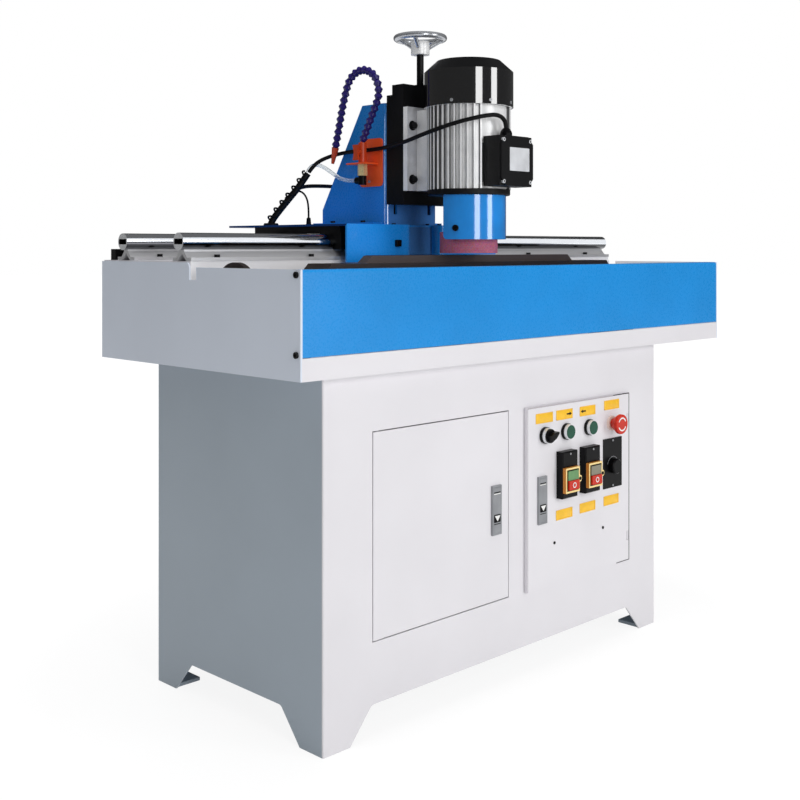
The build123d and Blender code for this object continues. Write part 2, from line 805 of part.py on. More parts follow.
def control_ring(column, rings):
    """Rings on the door face, each with its own radius and height, and a barrel through the door."""
    x = control_x(column)
    z = control_z()
    body = rod_y(x, z, RIGHT_DOOR_FACE, barrel_back(), CONTROL_HOLE / 2 - FREE)
    for radius, proud in rings:
        body += rod_y(x, z, RIGHT_DOOR_FACE - proud, RIGHT_DOOR_FACE, radius)
    return body - rod_y(x, z, RIGHT_DOOR_FACE - 2 * BEZEL_PROUD, barrel_back() + BEZEL_PROUD, barrel_bore())


def control_bezel(column):
    """Bezel on a wider foot, with a cup for the button's head."""
    front = RIGHT_DOOR_FACE - BEZEL_PROUD
    depth = BUTTON_HEAD - BUTTON_PROUD + KEY_TRAVEL + FREE
    bezel = control_ring(column, [(BEZEL_FOOT, BEZEL_FOOT_PROUD), (BEZEL_RADIUS, BEZEL_PROUD)])
    return bezel - rod_y(control_x(column), control_z(), front, front + depth, BUTTON_RADIUS + FREE)


def control_bezels():
    bezels = [control_bezel(column) for column in range(3)]
    return solids_of(*bezels, control_ring(3, [(BEZEL_RADIUS, STOP_COLLAR)]))


def switch_box(column):
    """Switch body on the door face, with a pocket behind the key frame."""
    x = switch_x(column)
    z = switch_z()
    half = SWITCH_WIDTH / 2
    low = z - SWITCH_HEIGHT / 2
    body = block(x - half, x + half, RIGHT_DOOR_FACE - SWITCH_DEPTH, RIGHT_DOOR_FACE,
                 low, low + SWITCH_HEIGHT)
    front = body.faces().sort_by(Axis.Y)[0]
    body = chamfer(front.edges(), DOOR_SHEET)
    inner = FRAME_WIDTH / 2 - FRAME_RIM
    middle = frame_x(column)
    pocket = block(middle - inner, middle + inner, RIGHT_DOOR_FACE - 2 * SWITCH_DEPTH,
                   RIGHT_DOOR_FACE - SWITCH_DEPTH + KEY_TRAVEL + FREE,
                   low + FRAME_LIFT + FRAME_RIM, low + FRAME_LIFT + FRAME_HEIGHT - FRAME_RIM)
    return body - pocket


def contact_block(column):
    """Contact block behind the door, on the end of a control's barrel."""
    x = control_x(column)
    z = control_z()
    half = CONTACT_SIDE / 2
    return block(x - half, x + half, barrel_back(), barrel_back() + CONTACT_DEPTH, z - half, z + half)


def speed_plate():
    half = SPEED_WIDTH / 2
    low = switch_z() - SPEED_HEIGHT / 2
    plate = block(speed_x() - half, speed_x() + half, RIGHT_DOOR_FACE - SPEED_PLATE, RIGHT_DOOR_FACE,
                  low, low + SPEED_HEIGHT)
    hole = rod_y(speed_x(), speed_knob_z(), RIGHT_DOOR_FACE - 2 * SPEED_PLATE,
                 RIGHT_DOOR_FACE + SPEED_PLATE, SPEED_SHAFT + RUNNING)
    return plate - hole


def control_boxes():
    """Switch bodies, speed panel and the contact blocks behind the door."""
    switches = [switch_box(column) for column in (1, 2)]
    contacts = [contact_block(column) for column in range(4)]
    return solids_of(*switches, speed_plate(), *contacts)


def switch_frame(column):
    """Raised frame round the two keys, with a round ear at its right."""
    x = frame_x(column)
    low = switch_z() - SWITCH_HEIGHT / 2 + FRAME_LIFT
    back = RIGHT_DOOR_FACE - SWITCH_DEPTH
    half = FRAME_WIDTH / 2
    frame = block(x - half, x + half, back - FRAME_DEPTH, back, low, low + FRAME_HEIGHT)
    frame += rod_y(x + half, low + FRAME_HEIGHT / 2, back - FRAME_DEPTH, back, EAR_RADIUS)
    inner = half - FRAME_RIM
    return frame - block(x - inner, x + inner, back - 2 * FRAME_DEPTH, back + FRAME_DEPTH,
                         low + FRAME_RIM, low + FRAME_HEIGHT - FRAME_RIM)


def switch_frames():
    return solids_of(switch_frame(1), switch_frame(2))


def switch_key(column, upper):
    """Upper or lower key in a switch frame; the lower one stands further out."""
    x = frame_x(column)
    low = switch_z() - SWITCH_HEIGHT / 2 + FRAME_LIFT + FRAME_RIM
    tall = (FRAME_HEIGHT - 2 * FRAME_RIM) / 2
    start = low + tall if upper else low
    proud = KEY_PROUD if upper else LOWER_KEY_PROUD
    half = FRAME_WIDTH / 2 - FRAME_RIM - FREE
    back = RIGHT_DOOR_FACE - SWITCH_DEPTH
    key = block(x - half, x + half, back - FRAME_DEPTH - proud, back, start + FREE, start + tall - FREE)
    return fillet(key.edges().filter_by(Axis.Y), KEY_PROUD)


def push_button(column):
    """Round head in the bezel's cup, on a stem that slides in the barrel."""
    x = control_x(column)
    z = control_z()
    front = RIGHT_DOOR_FACE - BEZEL_PROUD - BUTTON_PROUD
    head = rod_y(x, z, front, front + BUTTON_HEAD, BUTTON_RADIUS)
    head = fillet(head.edges().sort_by(Axis.Y)[0], KEY_PROUD / 2)
    return head + rod_y(x, z, front + BUTTON_HEAD, RIGHT_DOOR_FACE + KNOB_PROUD / 2, barrel_bore() - FREE)


def selector_knob():
    """Turn knob with a pointed lever, on a stem in its bezel."""
    x = control_x(0)
    z = control_z()
    seat = RIGHT_DOOR_FACE - BEZEL_PROUD
    knob = rod_y(x, z, seat - FREE - KNOB_PROUD / 4, seat - FREE, KNOB_RADIUS)
    half = LEVER_WIDTH / 2
    tip = LEVER_TIP / 2
    tail = KNOB_RADIUS - LEVER_TIP
    outline = [(-tail, -half), (LEVER_TIP, -half), (LEVER_LENGTH, -tip), (LEVER_LENGTH, tip),
               (LEVER_TIP, half), (-tail, half)]
    lever = prism_y(outline, seat - FREE - KNOB_PROUD, seat - FREE)
    lever = Pos(x, 0, z) * Rot(0, -LEVER_ANGLE, 0) * lever
    stem = rod_y(x, z, seat - FREE, RIGHT_DOOR_FACE + KNOB_PROUD / 2, barrel_bore() - FREE)
    return knob + lever + stem


def stop_button():
    """Mushroom head on a flared neck and a stem, with room for its travel above the collar."""
    x = control_x(3)
    z = control_z()
    seat = RIGHT_DOOR_FACE - STOP_COLLAR - STOP_GAP
    neck = Pos(x, seat - STOP_HEAD / 2, z) * Rot(90, 0, 0) * Cone(STOP_NECK, STOP_FLARE, STOP_HEAD)
    head = rod_y(x, z, seat - 2 * STOP_HEAD, seat - STOP_HEAD, STOP_RADIUS)
    rims = head.edges().filter_by(GeomType.CIRCLE)
    head = fillet(rims, STOP_HEAD / 4)
    stem = rod_y(x, z, seat, RIGHT_DOOR_FACE + STOP_GAP / 2, barrel_bore() - FREE)
    return neck + head + stem


def speed_knob():
    """Round knob on a shaft through the speed panel."""
    seat = RIGHT_DOOR_FACE - SPEED_PLATE - FREE
    knob = rod_y(speed_x(), speed_knob_z(), seat - SPEED_KNOB_HEIGHT, seat, SPEED_KNOB_RADIUS)
    knob = chamfer(knob.edges().sort_by(Axis.Y)[0], SPEED_PLATE)
    shaft = rod_y(speed_x(), speed_knob_z(), seat, RIGHT_DOOR_FACE + DOOR_SHEET, SPEED_SHAFT)
    return knob + shaft


# Coolant tray

def tray_pan():
    """Floor, front lip and back wall of the tray."""
    outline = [
        (TRAY_FRONT, TRAY_Z), (TRAY_BACK, TRAY_Z), (TRAY_BACK, END_TOP + END_STEP),
        (BED_BACK, END_TOP + END_STEP), (BED_BACK, TRAY_FLOOR),
        (TRAY_FRONT + TRAY_SHEET, TRAY_FLOOR), (TRAY_FRONT + TRAY_SHEET, LIP_TOP), (TRAY_FRONT, LIP_TOP),
    ]
    return prism_x(outline, BED_LEFT, BED_RIGHT)


def tray_end(outer, inward):
    """End panel with its rear step, its notch and a narrow flange at the front."""
    step = BED_FRONT + END_SLOPE
    notch = END_TOP - END_NOTCH_DEPTH
    outline = [
        (TRAY_FRONT, TRAY_Z), (TRAY_BACK, TRAY_Z), (TRAY_BACK, END_TOP + END_STEP),
        (step, END_TOP + END_STEP), (BED_FRONT, END_TOP), (BED_FRONT, notch),
        (BED_FRONT - END_NOTCH_WIDTH, notch), (BED_FRONT - END_NOTCH_WIDTH, END_TOP), (TRAY_FRONT, END_TOP),
    ]
    inner = outer + inward * TRAY_SHEET
    panel = prism_x(outline, min(outer, inner), max(outer, inner))
    lap = outer + inward * END_FLANGE
    flange = block(min(outer, lap), max(outer, lap), TRAY_FRONT, TRAY_FRONT + TRAY_SHEET, LIP_TOP, END_TOP)
    panel += flange
    for height in end_screw_heights():
        panel -= rod_x(TRAY_FRONT + END_SCREW_INSET, height, min(outer, inner), max(outer, inner),
                       SCREW_SHANK)
    return panel


def tray_ends():
    return solids_of(tray_end(TRAY_LEFT, 1), tray_end(TRAY_RIGHT, -1))


def front_cover():
    """Sheet along the front with its top edge folded to the rear."""
    half = TRAY_SHEET / 2
    line = TRAY_FRONT + half
    top = END_TOP - half
    path = FilletPolyline((TRAY_FRONT + COVER_FLANGE, top), (line, top), (line, LIP_TOP + COVER_GAP),
                          radius=COVER_BEND)
    face = Plane.YZ * trace(path, TRAY_SHEET)
    sheet = extrude(face, amount=TRAY_LENGTH - 2 * END_FLANGE, dir=(1, 0, 0))
    return Pos(TRAY_LEFT + END_FLANGE, 0, 0) * sheet


# Rail bed, rails and rack

def rail_bed():
    """Box beam of folded sheet, open below, that stands on the tray floor."""
    outline = [
        (BED_FRONT, TRAY_FLOOR), (BED_FRONT, BED_TOP), (BED_BACK, BED_TOP), (BED_BACK, TRAY_FLOOR),
        (BED_BACK - BED_SHEET, TRAY_FLOOR), (BED_BACK - BED_SHEET, BED_TOP - BED_SHEET),
        (BED_FRONT + BED_SHEET, BED_TOP - BED_SHEET), (BED_FRONT + BED_SHEET, TRAY_FLOOR),
    ]
    bed = prism_x(outline, BED_LEFT, BED_RIGHT)
    for x, y in rail_screw_places():
        bed -= rod_z(x, y, BED_TOP - 2 * BED_SHEET, BED_TOP + BED_SHEET, SCREW_SHANK)
    return bed


def rail_screw_places():
    """Screws along both feet of both rail supports."""
    reach = (SUPPORT_WIDTH / 2 + SUPPORT_LEG) / 2
    count = int((TRAY_LENGTH - 2 * RAIL_SCREW_FIRST) / RAIL_SCREW_PITCH) + 1
    places = []
    for rail in (FRONT_RAIL_Y, REAR_RAIL_Y):
        for side in (-1, 1):
            for k in range(count):
                x = TRAY_LEFT + RAIL_SCREW_FIRST + k * RAIL_SCREW_PITCH
                places.append((x, rail + side * reach))
    return places


def rail_support(rail):
    """Aluminium section with flared legs, under the whole length of a rail."""
    half = SUPPORT_WIDTH / 2
    neck = SUPPORT_NECK / 2
    cradle = RAIL_RISE - RAIL_RADIUS / 2
    outline = [
        (-half, 0), (-SUPPORT_ARCH, 0), (0, SUPPORT_ARCH), (SUPPORT_ARCH, 0), (half, 0),
        (half, SUPPORT_FOOT), (SUPPORT_LEG, SUPPORT_FOOT), (neck, SUPPORT_NECK_HEIGHT), (neck, cradle),
        (-neck, cradle), (-neck, SUPPORT_NECK_HEIGHT), (-SUPPORT_LEG, SUPPORT_FOOT), (-half, SUPPORT_FOOT),
    ]
    section = Pos(0, rail, BED_TOP) * prism_x(outline, BED_LEFT, BED_RIGHT)
    section -= rod_x(rail, RAIL_Z, BED_LEFT, BED_RIGHT, RAIL_RADIUS)
    for x, y in rail_screw_places():
        if abs(y - rail) < half:
            section -= rod_z(x, y, BED_TOP - SUPPORT_FOOT, BED_TOP + 2 * SUPPORT_FOOT, SCREW_SHANK)
    return section


def rail_supports():
    return solids_of(rail_support(FRONT_RAIL_Y), rail_support(REAR_RAIL_Y))


def guide_rail(rail):
    """Round shaft with a slot across each end."""
    left = TRAY_LEFT - RAIL_OVERHANG
    right = TRAY_RIGHT + RAIL_OVERHANG
    shaft = rod_x(rail, RAIL_Z, left, right, RAIL_RADIUS)
    half = RAIL_SLOT_WIDTH / 2
    tall = RAIL_SLOT_HEIGHT / 2
    for start in (left, right - RAIL_SLOT_DEPTH):
        shaft -= block(start, start + RAIL_SLOT_DEPTH, rail - half, rail + half,
                       RAIL_Z - tall, RAIL_Z + tall)
    return shaft


def guide_rails():
    return solids_of(guide_rail(FRONT_RAIL_Y), guide_rail(REAR_RAIL_Y))


def cap_screw(x, y, seat, length):
    """Socket cap screw that points down."""
    head = rod_z(x, y, seat, seat + SCREW_HEAD, SCREW_HEAD_RADIUS)
    shank = rod_z(x, y, seat - length, seat, SCREW_SHANK)
    socket = Pos(x, y, seat + SCREW_HEAD / 2) * extrude(RegularPolygon(SCREW_SOCKET, 6), SCREW_HEAD)
    return head + shank - socket


def end_screw_heights():
    """Heights of the two screws at the front of each end panel."""
    return LIP_TOP + END_SCREW_RADIUS, END_TOP - END_SCREW_RADIUS - TRAY_SHEET


def end_screw(outer, inward, height):
    """Button screw at the front edge of an end panel."""
    y = TRAY_FRONT + END_SCREW_INSET
    tip = outer + inward * TRAY_SHEET
    top = outer - inward * END_SCREW_HEAD
    head = rod_x(y, height, min(outer, top), max(outer, top), END_SCREW_RADIUS)
    shank = rod_x(y, height, min(outer, tip), max(outer, tip), SCREW_SHANK)
    mid = (outer + top) / 2
    socket = rod_x(y, height, min(mid, top), max(mid, top), SCREW_SOCKET)
    return head + shank - socket


def frame_screws():
    seat = BED_TOP + SUPPORT_FOOT
    screws = [cap_screw(x, y, seat, SUPPORT_FOOT + BED_SHEET) for x, y in rail_screw_places()]
    for outer, inward in ((TRAY_LEFT, 1), (TRAY_RIGHT, -1)):
        for height in end_screw_heights():
            screws.append(end_screw(outer, inward, height))
    return solids_of(*screws)


def drive_rack():
    """Toothed bar behind the rear rail, its teeth to the rear and in step with the pinion."""
    pitch = math.pi * RACK_MODULE
    slope = math.tan(math.radians(TOOTH_ANGLE))
    waist = pitch / 4 - BACKLASH / 4
    tip = waist - RACK_MODULE * slope
    root = waist + 1.25 * RACK_MODULE * slope
    root_y = RACK_TIP - 2.25 * RACK_MODULE
    before = int((PINION_X - BED_LEFT) / pitch) - 1
    after = int((BED_RIGHT - PINION_X) / pitch) - 1
    outline = [(BED_RIGHT, RACK_FRONT), (BED_LEFT, RACK_FRONT), (BED_LEFT, root_y)]
    for k in range(-before, after):
        middle = PINION_X + (k + 0.5) * pitch
        outline += [(middle - root, root_y), (middle - tip, RACK_TIP),
                    (middle + tip, RACK_TIP), (middle + root, root_y)]
    outline.append((BED_RIGHT, root_y))
    return prism_z(outline, BED_TOP, BED_TOP + RACK_HEIGHT)


# Knife table

def table_brackets():
    """Two pillars on the tray floor that carry the table's trunnions."""
    brackets = []
    half = BRACKET_WIDTH / 2
    for x in (TABLE_LEFT - BRACKET_GAP - BRACKET_THICKNESS, TABLE_RIGHT + BRACKET_GAP):
        pillar = block(x, x + BRACKET_THICKNESS, TABLE_Y - half, TABLE_Y + half, TRAY_FLOOR, TABLE_Z)
        crown = rod_x(TABLE_Y, TABLE_Z, x, x + BRACKET_THICKNESS, BRACKET_CROWN_RADIUS)
        middle = x + BRACKET_THICKNESS / 2
        foot = block(middle - BRACKET_FOOT_LENGTH / 2, middle + BRACKET_FOOT_LENGTH / 2,
                     TABLE_Y - half, TABLE_Y + half, TRAY_FLOOR, TRAY_FLOOR + BRACKET_FOOT)
        bore = rod_x(TABLE_Y, TABLE_Z, x, x + BRACKET_THICKNESS, TRUNNION_RADIUS + RUNNING)
        brackets.append(pillar + crown + foot - bore)
    return solids_of(*brackets)


def knife_table():
    """Bar with sloping ends, trunnions and the angle disc at the left."""
    low = TABLE_Z - TABLE_DROP
    seat = TABLE_Z + TABLE_SEAT
    outline = [
        (TABLE_LEFT, low), (TABLE_RIGHT, low), (TABLE_RIGHT, seat - TABLE_CHAMFER),
        (TABLE_RIGHT - TABLE_CHAMFER, seat), (TABLE_LEFT + TABLE_CHAMFER, seat),
        (TABLE_LEFT, seat - TABLE_CHAMFER),
    ]
    bar = prism_y(outline, TABLE_Y - TABLE_HALF, TABLE_Y + TABLE_HALF)
    disc_end = BED_LEFT + DISC_GAP
    bar += rod_x(TABLE_Y, TABLE_Z, disc_end, TABLE_LEFT, TRUNNION_RADIUS)
    bar += rod_x(TABLE_Y, TABLE_Z, TABLE_RIGHT, TABLE_RIGHT + BRACKET_GAP + BRACKET_THICKNESS,
                 TRUNNION_RADIUS)
    disc = rod_x(TABLE_Y, TABLE_Z, disc_end, disc_end + DISC_THICKNESS, DISC_RADIUS)
    return bar + disc


def clamp_bar():
    """Bar on the table's seat that holds the knife."""
    left = TABLE_LEFT + CLAMP_INSET
    right = TABLE_RIGHT - CLAMP_INSET
    seat = TABLE_Z + TABLE_SEAT
    top = seat + CLAMP_THICKNESS
    outline = [(left - CLAMP_END_RUN, seat), (right + CLAMP_END_RUN, seat), (right, top), (left, top)]
    return prism_y(outline, TABLE_Y - CLAMP_WIDTH / 2, TABLE_Y + CLAMP_WIDTH / 2)


# Carriage

def block_places():
    """Left ends and rails of the four bearing blocks."""
    left = CARRIAGE_LEFT + BLOCK_END
    right = CARRIAGE_RIGHT - BLOCK_END - BLOCK_LENGTH
    return [(x, rail) for x in (left, right) for rail in (FRONT_RAIL_Y, REAR_RAIL_Y)]


def bearing_block(x, rail):
    """Open bearing block round a supported rail."""
    half = BLOCK_WIDTH / 2
    body = block(x, x + BLOCK_LENGTH, rail - half, rail + half, RAIL_Z - BLOCK_SKIRT, BASE_BOTTOM)
    body -= rod_x(rail, RAIL_Z, x, x + BLOCK_LENGTH, RAIL_RADIUS + RUNNING)
    slot = BLOCK_SLOT / 2
    return body - block(x, x + BLOCK_LENGTH, rail - slot, rail + slot, BED_TOP, RAIL_Z)


def bearing_blocks():
    return solids_of(*[bearing_block(x, rail) for x, rail in block_places()])


def carriage_base():
    """Thick plate on the four bearing blocks."""
    return block(CARRIAGE_LEFT + BLOCK_END, CARRIAGE_RIGHT - BLOCK_END, SKIRT_FRONT + COVER_SHEET,
                 REAR_RAIL_Y + BASE_REAR, BASE_BOTTOM, COVER_BOTTOM)


def apron_path():
    """Line of the apron sheet: forward at both ends, set back in the middle."""
    half = COVER_SHEET / 2
    front = APRON_FRONT + half
    back = SKIRT_FRONT + half
    left = CARRIAGE_LEFT + APRON_LENGTH - half
    right = CARRIAGE_RIGHT - APRON_LENGTH + half
    return FilletPolyline(
        (CARRIAGE_LEFT, front), (left, front), (left, back), (right, back), (right, front),
        (CARRIAGE_RIGHT, front), radius=[APRON_BEND, APRON_INNER_BEND, APRON_INNER_BEND, APRON_BEND])


def carriage_cover():
    """Blue cover plate with its bent apron and the tab at the apron's left."""
    left = CARRIAGE_LEFT + APRON_LENGTH
    right = CARRIAGE_RIGHT - APRON_LENGTH
    rear = REAR_RAIL_Y + COVER_REAR
    outline = [
        (CARRIAGE_LEFT, APRON_FRONT), (left, APRON_FRONT), (left, SKIRT_FRONT), (right, SKIRT_FRONT),
        (right, APRON_FRONT), (CARRIAGE_RIGHT, APRON_FRONT), (CARRIAGE_RIGHT, rear), (CARRIAGE_LEFT, rear),
    ]
    plate = prism_z(outline, COVER_BOTTOM, COVER_TOP)
    bends = plate.edges().filter_by(Axis.Z).filter_by_position(Axis.Y, APRON_FRONT - 1, APRON_FRONT + 1)
    inner = [edge for edge in bends if CARRIAGE_LEFT + 1 < edge.center().X < CARRIAGE_RIGHT - 1]
    plate = fillet(inner, APRON_BEND + COVER_SHEET / 2)
    plate += bent_sheet(apron_path(), COVER_SHEET, APRON_BOTTOM, COVER_BOTTOM)
    tab = [
        (CARRIAGE_LEFT, APRON_BOTTOM), (CARRIAGE_LEFT + APRON_TAB - APRON_TAB_DROP, APRON_BOTTOM),
        (CARRIAGE_LEFT + APRON_TAB, APRON_BOTTOM - APRON_TAB_DROP),
        (CARRIAGE_LEFT, APRON_BOTTOM - APRON_TAB_DROP),
    ]
    plate += prism_y(tab, APRON_FRONT, APRON_FRONT + COVER_SHEET)
    foot = route(BUNDLE_POINTS)[0]
    plate -= rod_z(foot.X, foot.Y, COVER_BOTTOM, COVER_TOP, BUNDLE_HOLE / 2)
    foot = route(SENSOR_WIRE_POINTS)[-1]
    plate -= rod_z(foot.X, foot.Y, COVER_BOTTOM, COVER_TOP, WIRE_HOLE / 2)
    return plate - rod_z(PINION_X, PINION_Y, COVER_BOTTOM, COVER_TOP, PINION_SHAFT + FREE)


def column():
    """Bent upright with gussets, slots for the slide and outward feet."""
    half = COLUMN_SHEET / 2
    front = COLUMN_FRONT + half
    rear = COLUMN_FRONT + GUSSET_DEPTH
    path = FilletPolyline((COLUMN_LEFT + half, rear), (COLUMN_LEFT + half, front),
                          (COLUMN_RIGHT - half, front), (COLUMN_RIGHT - half, rear), radius=COLUMN_BEND)
    body = bent_sheet(path, COLUMN_SHEET, COVER_TOP, COLUMN_TOP)
    beyond = rear + GUSSET_DEPTH
    body -= prism_x([(rear, COVER_TOP + GUSSET_HEEL), (COLUMN_FRONT + GUSSET_TOP, COLUMN_TOP),
                     (COLUMN_FRONT + GUSSET_TOP, 2 * COLUMN_TOP), (beyond, 2 * COLUMN_TOP),
                     (beyond, COVER_TOP + GUSSET_HEEL)], COLUMN_LEFT, COLUMN_RIGHT)
    for side in (-1, 1):
        x = CARRIAGE_X + side * COLUMN_SLOT_PITCH / 2
        half = COLUMN_SLOT_WIDTH / 2
        body -= block(x - half, x + half, COLUMN_FRONT, COLUMN_FRONT + COLUMN_SHEET,
                      COVER_TOP + COLUMN_SLOT_LOW, COLUMN_TOP - COLUMN_SLOT_HIGH)
        outer = CARRIAGE_X + side * COLUMN_WIDTH / 2
        toe = outer + side * COLUMN_FOOT
        inner = outer - side * COLUMN_SHEET
        body += block(min(toe, inner), max(toe, inner), COLUMN_FRONT + COLUMN_BEND + COLUMN_SHEET, rear,
                      COVER_TOP, COVER_TOP + COLUMN_SHEET)
    return body


def dovetail(grow, y_front, y_back, z0, z1):
    """Dovetail tongue that widens to the front."""
    root = DOVETAIL_ROOT + grow
    tip = DOVETAIL_ROOT + DOVETAIL_SPREAD + grow
    outline = [(-root, y_back), (-tip, y_front), (tip, y_front), (root, y_back)]
    return Pos(CARRIAGE_X, 0, 0) * prism_z(outline, z0, z1)


def slide_base():
    """Fixed half of the vertical slide, with the feed nut in its groove."""
    base = block(COLUMN_LEFT, COLUMN_RIGHT, SLIDE_FRONT, COLUMN_FRONT, SLIDE_BOTTOM, SLIDE_TOP)
    base += dovetail(0, SLIDE_FRONT - DOVETAIL_HEIGHT, SLIDE_FRONT, SLIDE_BOTTOM, SLIDE_TOP)
    half = SCREW_GROOVE / 2
    front = SLIDE_FRONT - DOVETAIL_HEIGHT
    back = FEED_Y + half
    base -= block(CARRIAGE_X - half, CARRIAGE_X + half, front, back, SLIDE_BOTTOM, SLIDE_TOP)
    low = SLIDE_BOTTOM + NUT_LIFT
    nut = block(CARRIAGE_X - half, CARRIAGE_X + half, front, back, low, low + NUT_HEIGHT)
    nut -= rod_z(CARRIAGE_X, FEED_Y, low, low + NUT_HEIGHT, FEED_SCREW / 2 + SLIDING)
    return solids_of(base, nut)


# Head on the vertical slide

def motor_bolt_places():
    """Bolts through the motor pad, as X and Z."""
    reach = COLUMN_WIDTH / 2 - MOTOR_BOLT_INSET
    heights = (HOUSING_BOTTOM + MOTOR_BOLT_LOW, HOUSING_TOP - MOTOR_BOLT_LOW - MOTOR_BOLT_INSET)
    return [(CARRIAGE_X + side * reach, z) for side in (-1, 1) for z in heights]


def slide_saddle():
    """Moving half of the slide, closed at the top round the feed screw."""
    back = SLIDE_FRONT - SLIDING
    body = block(COLUMN_LEFT, COLUMN_RIGHT, SADDLE_FRONT, back, SADDLE_BOTTOM, SADDLE_TOP)
    cap = SADDLE_TOP - SADDLE_CAP
    body -= dovetail(SLIDING * 2, SLIDE_FRONT - DOVETAIL_HEIGHT - SLIDING, SLIDE_FRONT, SADDLE_BOTTOM, cap)
    body -= rod_z(CARRIAGE_X, FEED_Y, cap - SADDLE_CAP, SADDLE_TOP, FEED_SCREW / 2 + RUNNING)
    for x, z in motor_bolt_places():
        depth = SADDLE_FRONT + MOTOR_BOLT_REACH - PAD_THICKNESS
        body -= rod_y(x, z, SADDLE_FRONT, depth, MOTOR_BOLT_SHANK)
    return body


def fin_angles():
    """Directions of the cooling fins, clear of the pad behind and the terminal box in front."""
    angles = []
    for k in range(FIN_COUNT):
        angle = (k + 0.5) * 360 / FIN_COUNT
        to_rear = abs(angle - 90)
        to_front = abs(angle - 270)
        if to_rear > FIN_REAR_GAP and to_front > FIN_FRONT_GAP:
            angles.append(angle)
    return angles


def motor_housing():
    """Finned aluminium shell with its mounting pad and the terminal box's boss."""
    shell = rod_z(CARRIAGE_X, MOTOR_Y, HOUSING_BOTTOM, HOUSING_TOP, HOUSING_RADIUS)
    reach = HOUSING_RADIUS + FIN_HEIGHT
    half = HOUSING_HEIGHT / 2
    for angle in fin_angles():
        fin = Box(reach, FIN_WIDTH, HOUSING_HEIGHT, align=(Align.MIN, Align.CENTER, Align.CENTER))
        shell += Pos(CARRIAGE_X, MOTOR_Y, HOUSING_BOTTOM + half) * Rot(0, 0, angle) * fin
    pad_front = SADDLE_FRONT - PAD_THICKNESS
    pad = block(COLUMN_LEFT, COLUMN_RIGHT, pad_front, SADDLE_FRONT, HOUSING_BOTTOM, HOUSING_TOP)
    for x, z in motor_bolt_places():
        pad -= rod_y(x, z, pad_front, SADDLE_FRONT, MOTOR_BOLT_SHANK)
    web = block(CARRIAGE_X - PAD_WEB / 2, CARRIAGE_X + PAD_WEB / 2, MOTOR_Y, pad_front,
                HOUSING_BOTTOM, FAN_COVER_BOTTOM - FREE)
    boss = block(CARRIAGE_X - BOSS_WIDTH / 2, CARRIAGE_X + BOSS_WIDTH / 2, BOSS_FACE, MOTOR_Y,
                 HOUSING_BOTTOM + BOSS_RISE, HOUSING_BOTTOM + BOSS_RISE + BOSS_HEIGHT)
    rim = rod_z(CARRIAGE_X, MOTOR_Y, HOUSING_TOP - FAN_COVER_LAP, HOUSING_TOP,
                FAN_COVER_RADIUS - FAN_COVER_WALL - RUNNING)
    shell += pad + web + boss + rim
    shell -= rod_z(CARRIAGE_X, MOTOR_Y, HOUSING_BOTTOM, HOUSING_TOP - HOUSING_END, HOUSING_BORE)
    seat = HOUSING_TOP - BEARING_SEAT
    shell -= rod_z(CARRIAGE_X, MOTOR_Y, HOUSING_BOTTOM, seat, BEARING_RADIUS)
    return shell - rod_z(CARRIAGE_X, MOTOR_Y, HOUSING_BOTTOM, HOUSING_TOP, SHAFT_RADIUS + FREE)


def motor_stator():
    """Stator ring in the housing."""
    ring = rod_z(CARRIAGE_X, MOTOR_Y, STATOR_BOTTOM, STATOR_BOTTOM + STATOR_HEIGHT, HOUSING_BORE)
    return ring - rod_z(CARRIAGE_X, MOTOR_Y, STATOR_BOTTOM, STATOR_BOTTOM + STATOR_HEIGHT, STATOR_BORE)


def bearing_bottoms():
    """Lower faces of the two motor bearings."""
    return HOUSING_BOTTOM, HOUSING_TOP - BEARING_SEAT - BEARING_HEIGHT


def motor_flange():
    """Lower end shield with a collar for the lower bearing, and the two bearings."""
    plate = rod_z(CARRIAGE_X, MOTOR_Y, FLANGE_BOTTOM, HOUSING_BOTTOM, FLANGE_RADIUS)
    plate = fillet(plate.edges().sort_by(Axis.Z)[0], FLANGE_THICKNESS / 4)
    collar_top = HOUSING_BOTTOM + BEARING_HEIGHT
    plate += rod_z(CARRIAGE_X, MOTOR_Y, HOUSING_BOTTOM, collar_top, BEARING_RADIUS + HOUSING_WALL)
    plate -= rod_z(CARRIAGE_X, MOTOR_Y, HOUSING_BOTTOM, collar_top, BEARING_RADIUS)
    plate -= rod_z(CARRIAGE_X, MOTOR_Y, FLANGE_BOTTOM, HOUSING_BOTTOM, SHAFT_RADIUS + FREE)
    bearings = []
    for low in bearing_bottoms():
        ring = rod_z(CARRIAGE_X, MOTOR_Y, low, low + BEARING_HEIGHT, BEARING_RADIUS)
        bearings.append(ring - rod_z(CARRIAGE_X, MOTOR_Y, low, low + BEARING_HEIGHT, SHAFT_RADIUS + RUNNING))
    return solids_of(plate, *bearings)


def fan_cover():
    """Cap over the cooling fan, with a ring of air slots in its top."""
    wall = FAN_COVER_WALL
    outline = [
        (FAN_COVER_RADIUS - wall, FAN_COVER_BOTTOM), (FAN_COVER_RADIUS, FAN_COVER_BOTTOM),
        (FAN_COVER_RADIUS, FAN_COVER_SHOULDER), (FAN_COVER_TOP, FAN_COVER_Z), (0, FAN_COVER_Z),
        (0, FAN_COVER_Z - wall), (FAN_COVER_TOP - wall, FAN_COVER_Z - wall),
        (FAN_COVER_RADIUS - wall, FAN_COVER_SHOULDER - wall),
    ]
    cover = turned(outline, CARRIAGE_X, MOTOR_Y)
    middle = FAN_COVER_TOP * 0.6
    slot = Box(FAN_COVER_TOP / 2, FAN_SLOT_WIDTH, 4 * wall)
    for k in range(FAN_SLOTS):
        turn = Pos(CARRIAGE_X, MOTOR_Y, FAN_COVER_Z) * Rot(0, 0, k * 360 / FAN_SLOTS)
        cover -= turn * Pos(middle, 0, 0) * slot
    return cover


